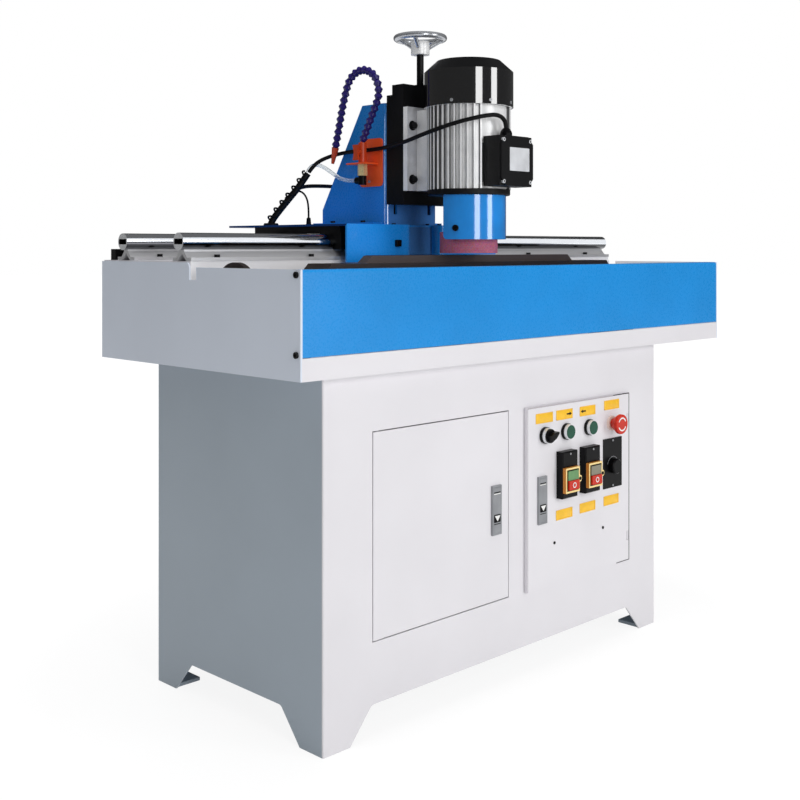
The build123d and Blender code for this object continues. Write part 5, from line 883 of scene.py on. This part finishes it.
CAMERA_PLACE = (-1.6213, -1.5669, 0.7868)
CAMERA_HEADING = -44.78
FLOOR_RADIUS = 30.0
FLOOR_DROP = 0.0005
FLOOR_TINT = (0.86, 0.86, 0.86, 1)
FLOOR_GLOW = 1.08
FLOOR_WHITE_SHARE = 0.82
SHADOW_REACH = (0.7, 1.3)
ROOM_RADIUS = 6.0
ROOM_HEIGHT = 6.0
MACHINE_MIDDLE = (0, 0, 0.7)
RAIL_MIDDLE = (0.1, 0.07, 0.8)
COLUMN_MIDDLE = (0.0, 0.1, 0.95)
LAMPS = (  # name, place, target, width, height, setting of its watts, what it leaves out
    ("front_left_strip", (-1.08, -2.80, 1.3), MACHINE_MIDDLE, 0.85, 2.0, "front_power", {}),
    ("front_right_strip", (0.98, -2.84, 1.3), MACHINE_MIDDLE, 0.85, 2.0, "front_power", {}),
    ("top_box", (-0.2, -0.2, 3.4), MACHINE_MIDDLE, 1.8, 1.8, "top_power", {"mirrored": False}),
    ("rear_box", (0.8, 3.2, 1.8), MACHINE_MIDDLE, 2.0, 2.0, "rear_power", {"mirrored": False}),
    ("rail_panel", (2.0, -1.78, 1.67), RAIL_MIDDLE, 3.0, 3.0, "rail_power", {"lit": False}),
    ("side_strip", (-3.0, 0.55, 1.2), COLUMN_MIDDLE, 0.3, 1.6, "side_power", {"lit": False}),
)


def camera_ray_share(tree):
    """1 for camera, glossy and transmission rays."""
    rays = add_node(tree, "ShaderNodeLightPath").outputs
    total = rays["Is Camera Ray"]
    for ray in ("Is Glossy Ray", "Is Transmission Ray"):
        total = reckon(tree, "ADD", total, rays[ray], use_clamp=True)
    return total


def mix_shaders(tree, share, first, second, output):
    """Ends a tree in two shaders mixed by a share."""
    mixed = add_node(tree, "ShaderNodeMixShader", {"Fac": share, 1: first.outputs[0], 2: second.outputs[0]})
    feed(tree, tree.nodes[output], {"Surface": mixed.outputs["Shader"]})


def studio_world(ambient):
    """World that is white to the camera and an even light to the machine."""
    world = bpy.data.worlds.new("studio")
    world.use_nodes = True
    tree = world.node_tree
    even = feed(tree, tree.nodes["Background"], {"Color": WHITE, "Strength": ambient})
    white = add_node(tree, "ShaderNodeBackground", {"Color": WHITE})
    mix_shaders(tree, camera_ray_share(tree), even, white, "World Output")
    return world


def bare_material(name):
    """Material with only its output."""
    made = bpy.data.materials.new(name)
    made.use_nodes = True
    made.node_tree.nodes.remove(made.node_tree.nodes["Principled BSDF"])
    return made


def floor_finish():
    """Pale floor that stays white to the camera and keeps the machine's shadow near the machine."""
    made = bare_material("pale_floor")
    tree = made.node_tree
    matt = add_node(tree, "ShaderNodeBsdfDiffuse", {"Color": FLOOR_TINT})
    glow = add_node(tree, "ShaderNodeEmission", {"Strength": FLOOR_GLOW})
    fade = spread_out(tree, distance(tree, object_place(tree)), *SHADOW_REACH, to_low=FLOOR_WHITE_SHARE)
    share = reckon(tree, "MULTIPLY", camera_ray_share(tree), fade)
    mix_shaders(tree, share, matt, glow, "Material Output")
    return made


def glowing(name, level):
    """Plain glow of one level."""
    made = bare_material(name)
    tree = made.node_tree
    glow = add_node(tree, "ShaderNodeEmission", {"Strength": level})
    feed(tree, tree.nodes["Material Output"], {"Surface": glow.outputs["Emission"]})
    return made


def dim_room(walls, ceiling):
    """Dim walls and ceiling that only reflections see, so that chrome and gloss keep their contrast."""
    bm = bmesh.new()
    bmesh.ops.create_circle(bm, segments=64, radius=ROOM_RADIUS)
    top = bmesh.ops.create_circle(bm, cap_ends=True, segments=64, radius=ROOM_RADIUS)["verts"]
    bmesh.ops.translate(bm, verts=top, vec=(0, 0, ROOM_HEIGHT))
    bmesh.ops.bridge_loops(bm, edges=bm.edges)
    for face in bm.faces:
        face.material_index = 1 if len(face.verts) > 4 else 0
    glows = (glowing("dim_wall", walls), glowing("dim_ceiling", ceiling))
    room = link("dim_room", meshed("dim_room", bm, *glows))
    room.visible_camera = False
    room.visible_diffuse = False
    room.visible_shadow = False
    room.visible_transmission = False


def softbox(name, place, target, width, height, power, mirrored=True, lit=True):
    """Area light that looks at a point; reflections see it if mirrored, and it lights matt paint if lit."""
    lamp = bpy.data.lights.new(name, "AREA")
    lamp.shape = "RECTANGLE"
    lamp.size = width
    lamp.size_y = height
    lamp.energy = power
    made = link(name, lamp)
    made.location = place
    made.rotation_euler = (Vector(target) - Vector(place)).to_track_quat("-Z", "Y").to_euler()
    made.visible_camera = False
    made.visible_glossy = mirrored
    made.visible_diffuse = lit


def shine_on(lamp, *pieces):
    """Lets a lamp light the named pieces alone."""
    receivers = bpy.data.collections.new(lamp + "_receivers")
    for name in pieces:
        receivers.objects.link(bpy.data.objects[name])
    bpy.data.objects[lamp].light_linking.receiver_collection = receivers


class GRINDER_OT_stage(bpy.types.Operator):
    """Camera, pale floor, studio light and white surroundings"""

    bl_idname = "grinder.stage"
    bl_label = "Stage"

    def execute(self, context):
        scene = context.scene
        stage = scene.grinder_stage
        camera = bpy.data.cameras.new("front_left")
        camera.lens = stage.lens
        camera.shift_y = stage.drop
        viewer = link("front_left", camera)
        viewer.location = CAMERA_PLACE
        viewer.rotation_euler = (math.pi / 2, 0, math.radians(CAMERA_HEADING))
        scene.camera = viewer
        bm = bmesh.new()
        bmesh.ops.create_circle(bm, cap_ends=True, segments=64, radius=FLOOR_RADIUS)
        floor = link("floor", meshed("floor", bm, floor_finish()))
        floor.location.z = -FLOOR_DROP
        dim_room(stage.walls, stage.ceiling)
        for name, place, target, width, height, power, left_out in LAMPS:
            softbox(name, place, target, width, height, getattr(stage, power), **left_out)
        scene.world = studio_world(stage.ambient)
        scene.view_settings.view_transform = "Standard"
        return {"FINISHED"}


# Cabinet: places in millimetres from here on

RIGHT_DOOR_FACE = -235.0
RIGHT_DOOR_MIDDLE = 322
LEFT_LATCH_X = -51.5
RIGHT_LATCH_X = 69.5
LATCHES = (("left", LEFT_LATCH_X, -231), ("right", RIGHT_LATCH_X, -239))
LATCH_WIDTH = 17.5
LATCH_PUSH_Z = 302.5
LEFT_LATCH_REACH = 8
RIGHT_LATCH_REACH = 12.6
RIGHT_LATCH_FOOT = 272
RIGHT_LATCH_HEAD = 362
RIGHT_DOOR_LEFT = 28.1
RIGHT_DOOR_REACH = 168.9
# Dark strips on the right door's front along its right, top and bottom edges: painted shadow of the gap round
# the door; middle x, middle z, width, height
DOOR_SHADOW_GAP_STRIPS = ((353.2, RIGHT_DOOR_MIDDLE, 1.4, 337), (326, 490, 55, 1.8), (331, 153.8, 44, 1.2))
# Grey strips of painted shade along the top and left edges of the right door: middle x, middle z, width,
# height
DOOR_EDGE_SHADE_STRIPS = ((164, 489.6, 268, 2.6), (29.4, RIGHT_DOOR_MIDDLE, 0.8, 337))
DOOR_SCREWS = ((108, 231), (263, 233))
PLATE_SPOTS = (
    (77.5, 468.3), (138.7, 468.6), (212.3, 468.6), (292.5, 472.5),
    (138, 280.7), (212, 282.2), (290.7, 283.8),
)
PLATE_ARROWS = ((153.5, 468.6, 1), (198, 468.6, -1))


def on_right_door(x, z):
    """Placement on the front of the right door."""
    return facing((x, RIGHT_DOOR_FACE, z))


class GRINDER_OT_cabinet(bpy.types.Operator):
    """Paint of the cabinet and its doors, with the door screws"""

    bl_idname = "grinder.cabinet"
    bl_label = "Cabinet"

    def execute(self, context):
        def in_latch(x, y, z):
            return abs(x - RIGHT_LATCH_X) < RIGHT_LATCH_REACH and RIGHT_LATCH_FOOT < z < RIGHT_LATCH_HEAD

        def on_edge(x, y, z):
            return x < RIGHT_DOOR_LEFT or abs(z - RIGHT_DOOR_MIDDLE) > RIGHT_DOOR_REACH

        dress("white_powder", "cabinet_front", "door_hinges")
        dress("grey_powder", "cabinet_panels", "cabinet_shelf")
        split("left_door", (
            ("left_latch_frame", "latch_metal", lambda x, y, z: abs(x - LEFT_LATCH_X) < LEFT_LATCH_REACH),
            ("left_door_panel", "white_powder"),
        ), by_face=False)
        split("right_door", (
            ("right_latch_frame", "latch_metal", in_latch),
            # The door's edges take the painted shade copy of the white paint
            ("right_door_edges", "edge_powder", on_edge),
            ("right_door_panel", "white_powder"),
        ))
        # Dark strips round the right door: painted shadow of the gap
        slabs("door_bead", "black_rubber", "right_door", (
            (rounded(width, height, 0.4), -0.2, 0.4, on_right_door(x, z))
            for x, z, width, height in DOOR_SHADOW_GAP_STRIPS
        ))
        # Grey strips on the right door's top and left edges: painted shade
        slabs("door_trim", "bead_powder", "right_door", (
            (rounded(width, height, 0.35), -0.2, 0.4, on_right_door(x, z), 0.15)
            for x, z, width, height in DOOR_EDGE_SHADE_STRIPS
        ))
        spots = [((x, RIGHT_DOOR_FACE, z), FRONT) for x, z in DOOR_SCREWS]
        screws("door_screws", spots, 2.9, 1.4, "black_oxide", "right_door")
        return {"FINISHED"}


class GRINDER_OT_plates(bpy.types.Operator):
    """Bare yellow plates with raised rims, two of them with an arrow"""

    bl_idname = "grinder.plates"
    bl_label = "Yellow plates"

    def execute(self, context):
        sizes = context.scene.grinder_sizes
        width = sizes.plate_width / MM
        height = sizes.plate_height / MM
        rim = sizes.plate_rim / MM
        bar = rounded(width, rim, rim * 0.48)
        post = rounded(rim, height, rim * 0.48)
        plates = []
        for spot in PLATE_SPOTS:
            place = on_right_door(*spot)
            plates.append((rounded(width, height, 2.5), 0, 0.7, place, 0.2))
            for side in (-1, 1):
                plates.append((shifted(bar, 0, side * (height - rim) / 2), 0.5, 1.2, place, 0.2))
                plates.append((shifted(post, side * (width - rim) / 2, 0), 0.5, 1.2, place, 0.2))
        slabs("label_plates", "yellow_plate", "control_boxes", plates)
        slabs("plate_arrows", "black_plastic", "control_boxes", (
            (arrow(16, 7, way), 0.6, 0.95, on_right_door(x, z)) for x, z, way in PLATE_ARROWS
        ))
        return {"FINISHED"}


class GRINDER_OT_latches(bpy.types.Operator):
    """Flush latches: grey paddles with a black push piece and a white mark"""

    bl_idname = "grinder.latches"
    bl_label = "Door latches"

    def execute(self, context):
        dress("latch_metal", "left_latch", "right_latch")
        for side, x, y in LATCHES:
            push = facing((x, y, LATCH_PUSH_Z))
            slabs(side + "_latch_push", "black_plastic", side + "_latch", (
                (rounded(LATCH_WIDTH, 14, 1.5), -0.3, 0.8, push, 0.3),
                (rounded(LATCH_WIDTH, 2.2, 0.7), -0.3, 0.25, facing((x, y, 348.5))),
                (rounded(LATCH_WIDTH, 1.4, 0.5), -0.3, 0.25, facing((x, y, 292.5))),
            ))
            slabs(side + "_latch_mark", "mark_print", side + "_latch", (
                ([(-7.5, 5), (0, -5), (7.5, 5)], 0.6, 1.0, push),
                (rounded(LATCH_WIDTH, 1.6, 0.6), -0.3, 0.3, facing((x, y, 346.2))),
            ))
        return {"FINISHED"}


# Controls

STOP_COLLAR_LEFT = 270
BEZEL_FEET_FRONT = -241.1
KEY_FRAMES = (("grind", 136), ("pump", 208.5))
KEY_FRAME_Z = 348
KEY_FRAME_EAR = 22.5
KEY_FRAME_FACE = -257.5
OFF_KEY_Z = 339
OFF_KEY_FACE = -261.5
OFF_RING = ((3.6, -0.2), (5.2, -0.2), (5.2, 0.3), (3.6, 0.3))
SPEED_X = 294.5
SPEED_Z = 351
SPEED_FACE = -237
SPEED_TICKS = 4
SPEED_TICK_FIRST = -50
SPEED_TICK_STEP = 22
SPEED_SCREW_Z = (401.5, 312.5)
SWITCH_BOX_FACE = -250.5
SWITCH_SCREW_X = (138, 210.5)
SWITCH_SCREW_Z = 396


class GRINDER_OT_controls(bpy.types.Operator):
    """Selector, push buttons, stop button, on and off keys and the speed knob with its scale"""

    bl_idname = "grinder.controls"
    bl_label = "Controls"

    def execute(self, context):
        dress("black_plastic", "selector_knob", "control_boxes", "speed_knob")
        dress("green_plastic", "travel_left_button", "travel_right_button")
        dress("leaf_plastic", "grind_on_key")
        dress("olive_plastic", "pump_on_key")
        dress("red_plastic", "grind_off_key", "pump_off_key")
        dress("stop_cap", "stop_button")
        split("control_bezels", (
            ("stop_collar", "ivory_plastic", lambda x, y, z: x > STOP_COLLAR_LEFT),
            ("bezel_feet", "black_plastic", lambda x, y, z: y > BEZEL_FEET_FRONT),
            ("silver_bezels", "cast_aluminium"),
        ))
        split("switch_frames", (
            # The frames' front rims take the painted light cream and their sides the painted shade amber
            ("frame_rims", "cream_plastic", lambda x, y, z: y < KEY_FRAME_FACE + 0.1),
            ("frame_sides", "amber_plastic"),
        ))
        gaskets = []
        for _, x in KEY_FRAMES:
            place = facing((x, KEY_FRAME_FACE, KEY_FRAME_Z))
            for side in (-1, 1):
                gaskets.append((shifted(rounded(2, 38, 0.4), side * 17, 0), -0.2, 0.3, place))
                gaskets.append((shifted(rounded(36, 2, 0.4), 0, side * 19), -0.2, 0.3, place))
        slabs("frame_gaskets", "black_rubber", "switch_frames", gaskets)
        spots = [((x + KEY_FRAME_EAR, KEY_FRAME_FACE, KEY_FRAME_Z), FRONT) for _, x in KEY_FRAMES]
        screws("frame_ear_screws", spots, 3.4, 1.2, "black_oxide", "switch_frames")
        for name, x in KEY_FRAMES:
            key_face = facing((x, OFF_KEY_FACE, OFF_KEY_Z))
            rings(name + "_off_ring", "mark_print", name + "_off_key", OFF_RING, [key_face])
        bands = [arc_band(18.0, 18.9, 15, 165)]
        for k in range(SPEED_TICKS):
            turn = SPEED_TICK_FIRST + SPEED_TICK_STEP * k
            bands.append(arc_band(20.4, 22.6, turn - 1.5, turn + 1.5, 2))
        centre = facing((SPEED_X, SPEED_FACE, SPEED_Z))
        slabs("speed_scale", "latch_metal", "control_boxes", ((band, -0.1, 0.2, centre) for band in bands))
        spots = [((SPEED_X, SPEED_FACE, z), FRONT) for z in SPEED_SCREW_Z]
        screws("speed_plate_screws", spots, 2.2, 1.0, "bright_steel", "control_boxes")
        spots = [((x, SWITCH_BOX_FACE, SWITCH_SCREW_Z), FRONT) for x in SWITCH_SCREW_X]
        screws("switch_box_screws", spots, 2.0, 0.9, "bright_steel", "control_boxes")
        return {"FINISHED"}


# Tray, rails and table

TRAY_MIDDLE = 82
LINING_REACH = 597
RAIL_END_REACH = 603.9
RAIL_SLOT_REACH = 590
BED_FRONT = 43


class GRINDER_OT_tray(bpy.types.Operator):
    """Tray, front cover, rail bed, rails and their screws"""

    bl_idname = "grinder.tray"
    bl_label = "Tray and rails"

    def execute(self, context):
        def off_middle(x):
            return abs(x - TRAY_MIDDLE)

        split("tray_ends", (
            # The inner faces of the tray ends take the brighter, painted light copy of the white paint
            ("tray_end_linings", "bed_powder", lambda x, y, z: abs(off_middle(x) - LINING_REACH) < 0.3),
            # The outer faces of the tray ends take the bluish, painted shade copy of the white paint
            ("tray_end_panels", "tray_powder"),
        ))
        dress("white_powder", "tray_pan")
        split("rail_bed", (
            # The rail bed's front takes the brighter, painted light copy of the white paint
            ("bed_front", "bed_powder", lambda x, y, z: abs(y - BED_FRONT) < 0.6),
            ("bed_sheet", "white_powder"),
        ))
        dress("sky_powder", "front_cover")
        dress("drawn_aluminium", "rail_supports")
        split("guide_rails", (
            ("rail_ends", "cast_aluminium", lambda x, y, z: off_middle(x) > RAIL_END_REACH),
            ("rail_slots", "black_oxide", lambda x, y, z: off_middle(x) > RAIL_SLOT_REACH),
            ("chrome_rails", "rail_chrome"),
        ))
        shine_on("rail_panel", "chrome_rails")
        dress("black_oxide", "frame_screws", "drive_rack")
        return {"FINISHED"}


class GRINDER_OT_table(bpy.types.Operator):
    """Knife table, its clamp bar and brackets"""

    bl_idname = "grinder.table"
    bl_label = "Knife table"

    def execute(self, context):
        dress("table_steel", "knife_table")
        dress("clamp_steel", "clamp_bar")
        dress("black_powder", "table_brackets")
        return {"FINISHED"}


# Carriage

COVER_TOP = 829
COLUMN_FRONT = 55
COLUMN_SHEET_BACK = 60
BEND_Y = (55.02, 63.4)
BEND_INNER_X = (-41, 87)
SKIRT_X = (14, 59)
SKIRT_Y = (30, 45)
SKIRT_TOP = 824
APRON_BACK = 46
SLOT_X = (-25, 71)
SLOT_Z = 944
SLOT_BOLT_Z = (860, SLOT_Z, 1028)
SLOT_BOLT = ((5, 3.8), (5, 7.4), (4.2, 8))
FOOT_TOP = COVER_TOP + 5
FOOT_SCREWS = ((-61, 110), (-61, 200), (107, 110), (107, 200))
COVER_SCREW_X = (-36, 58, 92)
COVER_SCREW_Y = 47
APRON_BOLT = (-57, 17, 793)
WIRE_HOLE = (-77.5, 256.5, COVER_TOP)
BUNDLE_HOLE = (-166, 269, COVER_TOP)
WIRE_GROMMET = ((3, 0), (7.5, 0), (7.5, 2), (5.2, 4), (4.2, 16), (3, 17))
BUNDLE_GROMMET = ((11, 0), (15, 0), (15, 2.5), (13.5, 4.5), (11, 4.5))


class GRINDER_OT_carriage(bpy.types.Operator):
    """Carriage cover, column, slide, travel motor and the fittings on the cover"""

    bl_idname = "grinder.carriage"
    bl_label = "Carriage"

    def execute(self, context):
        def between(value, limits):
            return limits[0] < value < limits[1]

        def on_bend(x, y, z):
            return between(y, BEND_Y) and not between(x, BEND_INNER_X)

        def on_skirt(x, y, z):
            return between(y, SKIRT_Y) and between(x, SKIRT_X) and z < SKIRT_TOP

        split("column", (
            ("column_bends", "bend_gloss", on_bend),
            # The column front takes the painted light and shade copy of the blue paint
            ("column_front", "haze_powder", lambda x, y, z: abs(y - COLUMN_FRONT) < 1.2),
            ("column_sheet", "blue_powder"),
        ))
        split("carriage_cover", (
            # The cover's inner skirt takes the painted light and shade copy of the blue paint
            ("cover_skirt", "haze_powder", on_skirt),
            # The cover's underside takes the painted shade copy of the blue paint
            ("cover_underside", "shade_powder", lambda x, y, z: z < COVER_TOP - 0.5 and y > APRON_BACK),
            # The rest of the cover takes the brighter, painted light copy of the blue paint
            ("cover_plate", "apron_powder"),
        ))
        shine_on("side_strip", "column_bends", "cover_plate")
        # Black backing strips with bolt heads behind the column's two slots; they also stand in for painted
        # shade inside the column, so the slots read dark
        bm = bmesh.new()
        for x in SLOT_X:
            slab(bm, rounded(17, 204, 3), 0, 4, facing((x, COLUMN_SHEET_BACK, SLOT_Z), BACK), bevel=0.8)
            for z in SLOT_BOLT_Z:
                lathe(bm, SLOT_BOLT, facing((x, COLUMN_SHEET_BACK, z), BACK), sides=6)
        piece("slot_strips", bm, "black_oxide", "column")
        dress("dark_casting", "carriage_base", "slide_base", "bearing_blocks")
        dress("bright_steel", "drive_pinion")
        dress("black_powder", "travel_gearmotor")
        spots = [((x, y, FOOT_TOP), UP) for x, y in FOOT_SCREWS]
        screws("column_foot_screws", spots, 5.0, 4.5, "black_oxide", "column")
        spots = [((x, COVER_SCREW_Y, COVER_TOP), UP) for x in COVER_SCREW_X]
        screws("cover_top_screws", spots, 4.0, 3.2, "black_oxide", "carriage_cover")
        bolt = (rounded(13, 13, 1), -0.2, 6, facing(APRON_BOLT), 0.8)
        slabs("apron_bolt", "black_oxide", "carriage_cover", [bolt])
        bm = bmesh.new()
        lathe(bm, WIRE_GROMMET, facing(WIRE_HOLE, UP, BACK), sides=24)
        lathe(bm, BUNDLE_GROMMET, facing(BUNDLE_HOLE, UP, BACK), ring=True)
        piece("cord_grommets", bm, "black_rubber", "carriage_cover")
        return {"FINISHED"}


# Head

MOTOR_X = 23
MOTOR_Y = -96
HOUSING_BACK = -3
HOUSING_REACH = 71
PAD_FACE = -2
PAD_BOLT_X = (-34.5, 80.5)
PAD_BOLT_Z = (916, 1020)
PAD_WASHER = ((6.2, -0.2), (9.5, -0.2), (9.5, 0.8), (8.8, 1.4), (6.2, 1.4))
FAN_SKIRT_TOP = 1117.5
FAN_SCREW_RADIUS = 84.8
FAN_SCREW_Z = 1057
FAN_SCREW_ANGLES = (200, 250, 290, 340, 70, 110)
LID_MIDDLE_X = 27
LID_INNER_REACH = 30
LID_BACK = -205
LID_SCREW_FACE = -209
LID_SCREW_X = (-10.5, 64.5)
LID_SCREW_Z = (905.5, 981.5)
LID_PLATE = (32.5, -213, 946.8)
GLAND_PLACE = (25, -187, 989.5)
GLAND_NUT = (
    (9.1, 0), (11.5, 0), (11.5, 6), (10.6, 9.5), (8, 14), (5.2, 16.5), (4.1, 16.5), (4.1, 12.2), (9.1, 12.2),
)
GUARD_RADIUS = 71
GUARD_BOLT_ANGLE = 202
GUARD_BOLT_Z = 821
FEED_X = 23
FEED_Y = 33
FEED_SCREW_RADIUS = 11.2
FEED_JOURNAL_RADIUS = 7.2
FEED_SHOULDER = 1166.9
HUB_RADIUS = 19.5
HUB_SCREW = (FEED_X + 12.9, FEED_Y - 13.2, 1181)
HUB_SCREW_FACING = (0.7, -0.714, 0)


def round_motor(angle, radius, z):
    """Point at an angle round the motor's axis, in degrees, and the way out from the axis there."""
    out = (math.cos(math.radians(angle)), math.sin(math.radians(angle)), 0)
    return (MOTOR_X + radius * out[0], MOTOR_Y + radius * out[1], z), out


class GRINDER_OT_motor(bpy.types.Operator):
    """Motor with its fan cover, flange, terminal box and slide saddle"""

    bl_idname = "grinder.motor"
    bl_label = "Motor"

    def execute(self, context):
        def on_housing_end(x, y, z):
            return abs(x - MOTOR_X) > HOUSING_REACH and y > HOUSING_BACK

        def on_lid_corner(x, y, z):
            return abs(x - LID_MIDDLE_X) > LID_INNER_REACH and y < LID_BACK

        split("motor_housing", (
            ("housing_ends", "end_aluminium", on_housing_end),
            # The pad's face takes the darker, painted shade copy of the housing's aluminium
            ("housing_pad", "pad_aluminium", lambda x, y, z: y > HOUSING_BACK),
            ("housing_barrel", "finned_aluminium"),
        ))
        dress("copper_wire", "motor_stator")
        dress("dark_casting", "motor_flange", "slide_saddle")
        split("fan_cover", (
            ("fan_dome", "black_plastic", lambda x, y, z: z > FAN_SKIRT_TOP),
            ("fan_skirt", "black_lacquer"),
        ))
        dress("black_oxide", "head_bolts")
        dress("bright_steel", "rotor_shaft")
        split("terminal_box", (
            ("lid_screws", "bright_steel", on_lid_corner),
            ("box_and_lid", "black_powder"),
        ), by_face=False)
        plate = (rounded(56, 43, 1.5), -0.2, 0.8, facing(LID_PLATE), 0.25)
        slabs("lid_plate", "pale_plate", "terminal_box", [plate])
        spots = [((x, LID_SCREW_FACE, z), FRONT) for x in LID_SCREW_X for z in LID_SCREW_Z]
        screws("lid_screw_heads", spots, 3.8, 4.4, "cast_aluminium", "terminal_box")
        gland = facing(GLAND_PLACE, UP, BACK)
        rings("gland_nut", "black_plastic", "terminal_box", GLAND_NUT, [gland], sides=24)
        washers = [facing((x, PAD_FACE, z)) for x in PAD_BOLT_X for z in PAD_BOLT_Z]
        rings("pad_washers", "black_oxide", "head_bolts", PAD_WASHER, washers)
        spots = [round_motor(angle, FAN_SCREW_RADIUS, FAN_SCREW_Z) for angle in FAN_SCREW_ANGLES]
        screws("fan_cover_screws", spots, 3.0, 1.6, "bright_steel", "fan_cover")
        return {"FINISHED"}


class GRINDER_OT_wheel(bpy.types.Operator):
    """Grinding wheel and its blue guard"""

    bl_idname = "grinder.wheel"
    bl_label = "Grinding wheel and guard"

    def execute(self, context):
        dress("pink_abrasive", "grinding_wheel")
        dress("guard_gloss", "guard")
        bolt = round_motor(GUARD_BOLT_ANGLE, GUARD_RADIUS, GUARD_BOLT_Z)
        screws("guard_bolt", [bolt], 6.0, 3.0, "black_oxide", "guard")
        return {"FINISHED"}


class GRINDER_OT_handwheel(bpy.types.Operator):
    """Chrome handwheel on its black feed screw"""

    bl_idname = "grinder.handwheel"
    bl_label = "Handwheel"

    def execute(self, context):
        def from_axis(x, y):
            return math.hypot(x - FEED_X, y - FEED_Y)

        def on_screw(x, y, z):
            radius = FEED_SCREW_RADIUS if z < FEED_SHOULDER else FEED_JOURNAL_RADIUS
            return from_axis(x, y) < radius

        split("handwheel", (
            ("feed_screw", "black_oxide", on_screw),
            ("wheel_hub", "end_aluminium", lambda x, y, z: from_axis(x, y) < HUB_RADIUS),
            ("chrome_handwheel", "spun_chrome"),
        ))
        screws("hub_screw", [(HUB_SCREW, HUB_SCREW_FACING)], 3.2, 2.2, "bright_steel", "handwheel")
        return {"FINISHED"}


ELBOW_TOP = 920
TAP_NUT_FOOT = 930
TAP_NUT_HEAD = 940
TAP_NUT_RIGHT = -68
BRACKET_BACK = 98.5
BRACKET_SCREW = (-51.5, 101, 915.3)
NOZZLE_TOP = 980


class GRINDER_OT_coolant(bpy.types.Operator):
    """Coolant tap with its lever, nut and elbow, and the linked hose with its nozzle"""

    bl_idname = "grinder.coolant"
    bl_label = "Coolant tap and hose"

    def execute(self, context):
        dress("orange_paint", "tap_lever")
        split("coolant_tap", (
            ("tap_elbow", "black_plastic", lambda x, y, z: z < ELBOW_TOP),
            ("tap_nut", "brass_bar", lambda x, y, z: TAP_NUT_FOOT < z < TAP_NUT_HEAD and x < TAP_NUT_RIGHT),
            # The bracket takes the brighter, painted light copy of the orange
            ("tap_bracket", "bracket_paint", lambda x, y, z: y < BRACKET_BACK),
            ("tap_body", "orange_paint"),
        ), by_face=False)
        split("coolant_hose", (
            ("hose_nozzle", "orange_paint", lambda x, y, z: z < NOZZLE_TOP),
            ("hose_links", "violet_plastic"),
        ), by_face=False)
        screws("bracket_screw", [(BRACKET_SCREW, LEFT)], 2.6, 1.4, "bright_steel", "coolant_tap")
        return {"FINISHED"}


GEAR_PLATE_FRONT = 220
TERMINAL_STRIP_TOP = 300


class GRINDER_OT_inside(bpy.types.Operator):
    """Coolant tank and pump in the left bay and control gear in the right bay"""

    bl_idname = "grinder.inside"
    bl_label = "Inside of the cabinet"

    def execute(self, context):
        dress("tank_plastic", "coolant_tank")
        dress("black_powder", "coolant_pump")
        split("control_gear", (
            ("gear_plate", "cast_aluminium", lambda x, y, z: y > GEAR_PLATE_FRONT),
            ("terminal_strip", "tank_plastic", lambda x, y, z: z < TERMINAL_STRIP_TOP),
            ("contactors", "black_plastic"),
        ), by_face=False)
        return {"FINISHED"}


OPERATORS = (
    GRINDER_OT_stage, GRINDER_OT_cords, GRINDER_OT_cabinet, GRINDER_OT_plates, GRINDER_OT_latches,
    GRINDER_OT_controls, GRINDER_OT_tray, GRINDER_OT_table, GRINDER_OT_carriage, GRINDER_OT_motor,
    GRINDER_OT_wheel, GRINDER_OT_handwheel, GRINDER_OT_coolant, GRINDER_OT_inside,
)
GROUPS = {
    "grinder_colours": GrinderColours,
    "grinder_sizes": GrinderSizes,
    "grinder_stage": GrinderStage,
}


class GRINDER_PT_panel(bpy.types.Panel):
    """Sidebar list of the machine's groups"""

    bl_idname = "GRINDER_PT_panel"
    bl_label = "Knife grinding machine"
    bl_space_type = "VIEW_3D"
    bl_region_type = "UI"
    bl_category = "Grinder"

    def draw(self, context):
        for operator in OPERATORS:
            self.layout.operator(operator.bl_idname)
        for group in GROUPS:
            settings = getattr(context.scene, group)
            box = self.layout.box()
            for key in settings.__annotations__:
                box.prop(settings, key)


def register():
    """Registers the classes and hangs the settings on the scene."""
    for kind in (*GROUPS.values(), *OPERATORS, GRINDER_PT_panel):
        bpy.utils.register_class(kind)
    for name, kind in GROUPS.items():
        setattr(bpy.types.Scene, name, PointerProperty(type=kind))


def unregister():
    """Takes the settings off the scene and unregisters the classes."""
    for name in GROUPS:
        delattr(bpy.types.Scene, name)
    for kind in (GRINDER_PT_panel, *reversed(OPERATORS), *GROUPS.values()):
        bpy.utils.unregister_class(kind)


def main():
    """Dresses the machine group by group."""
    register()
    for operator in OPERATORS:
        group, name = operator.bl_idname.split(".")
        getattr(getattr(bpy.ops, group), name)()


if __name__ == "__main__":
    main()
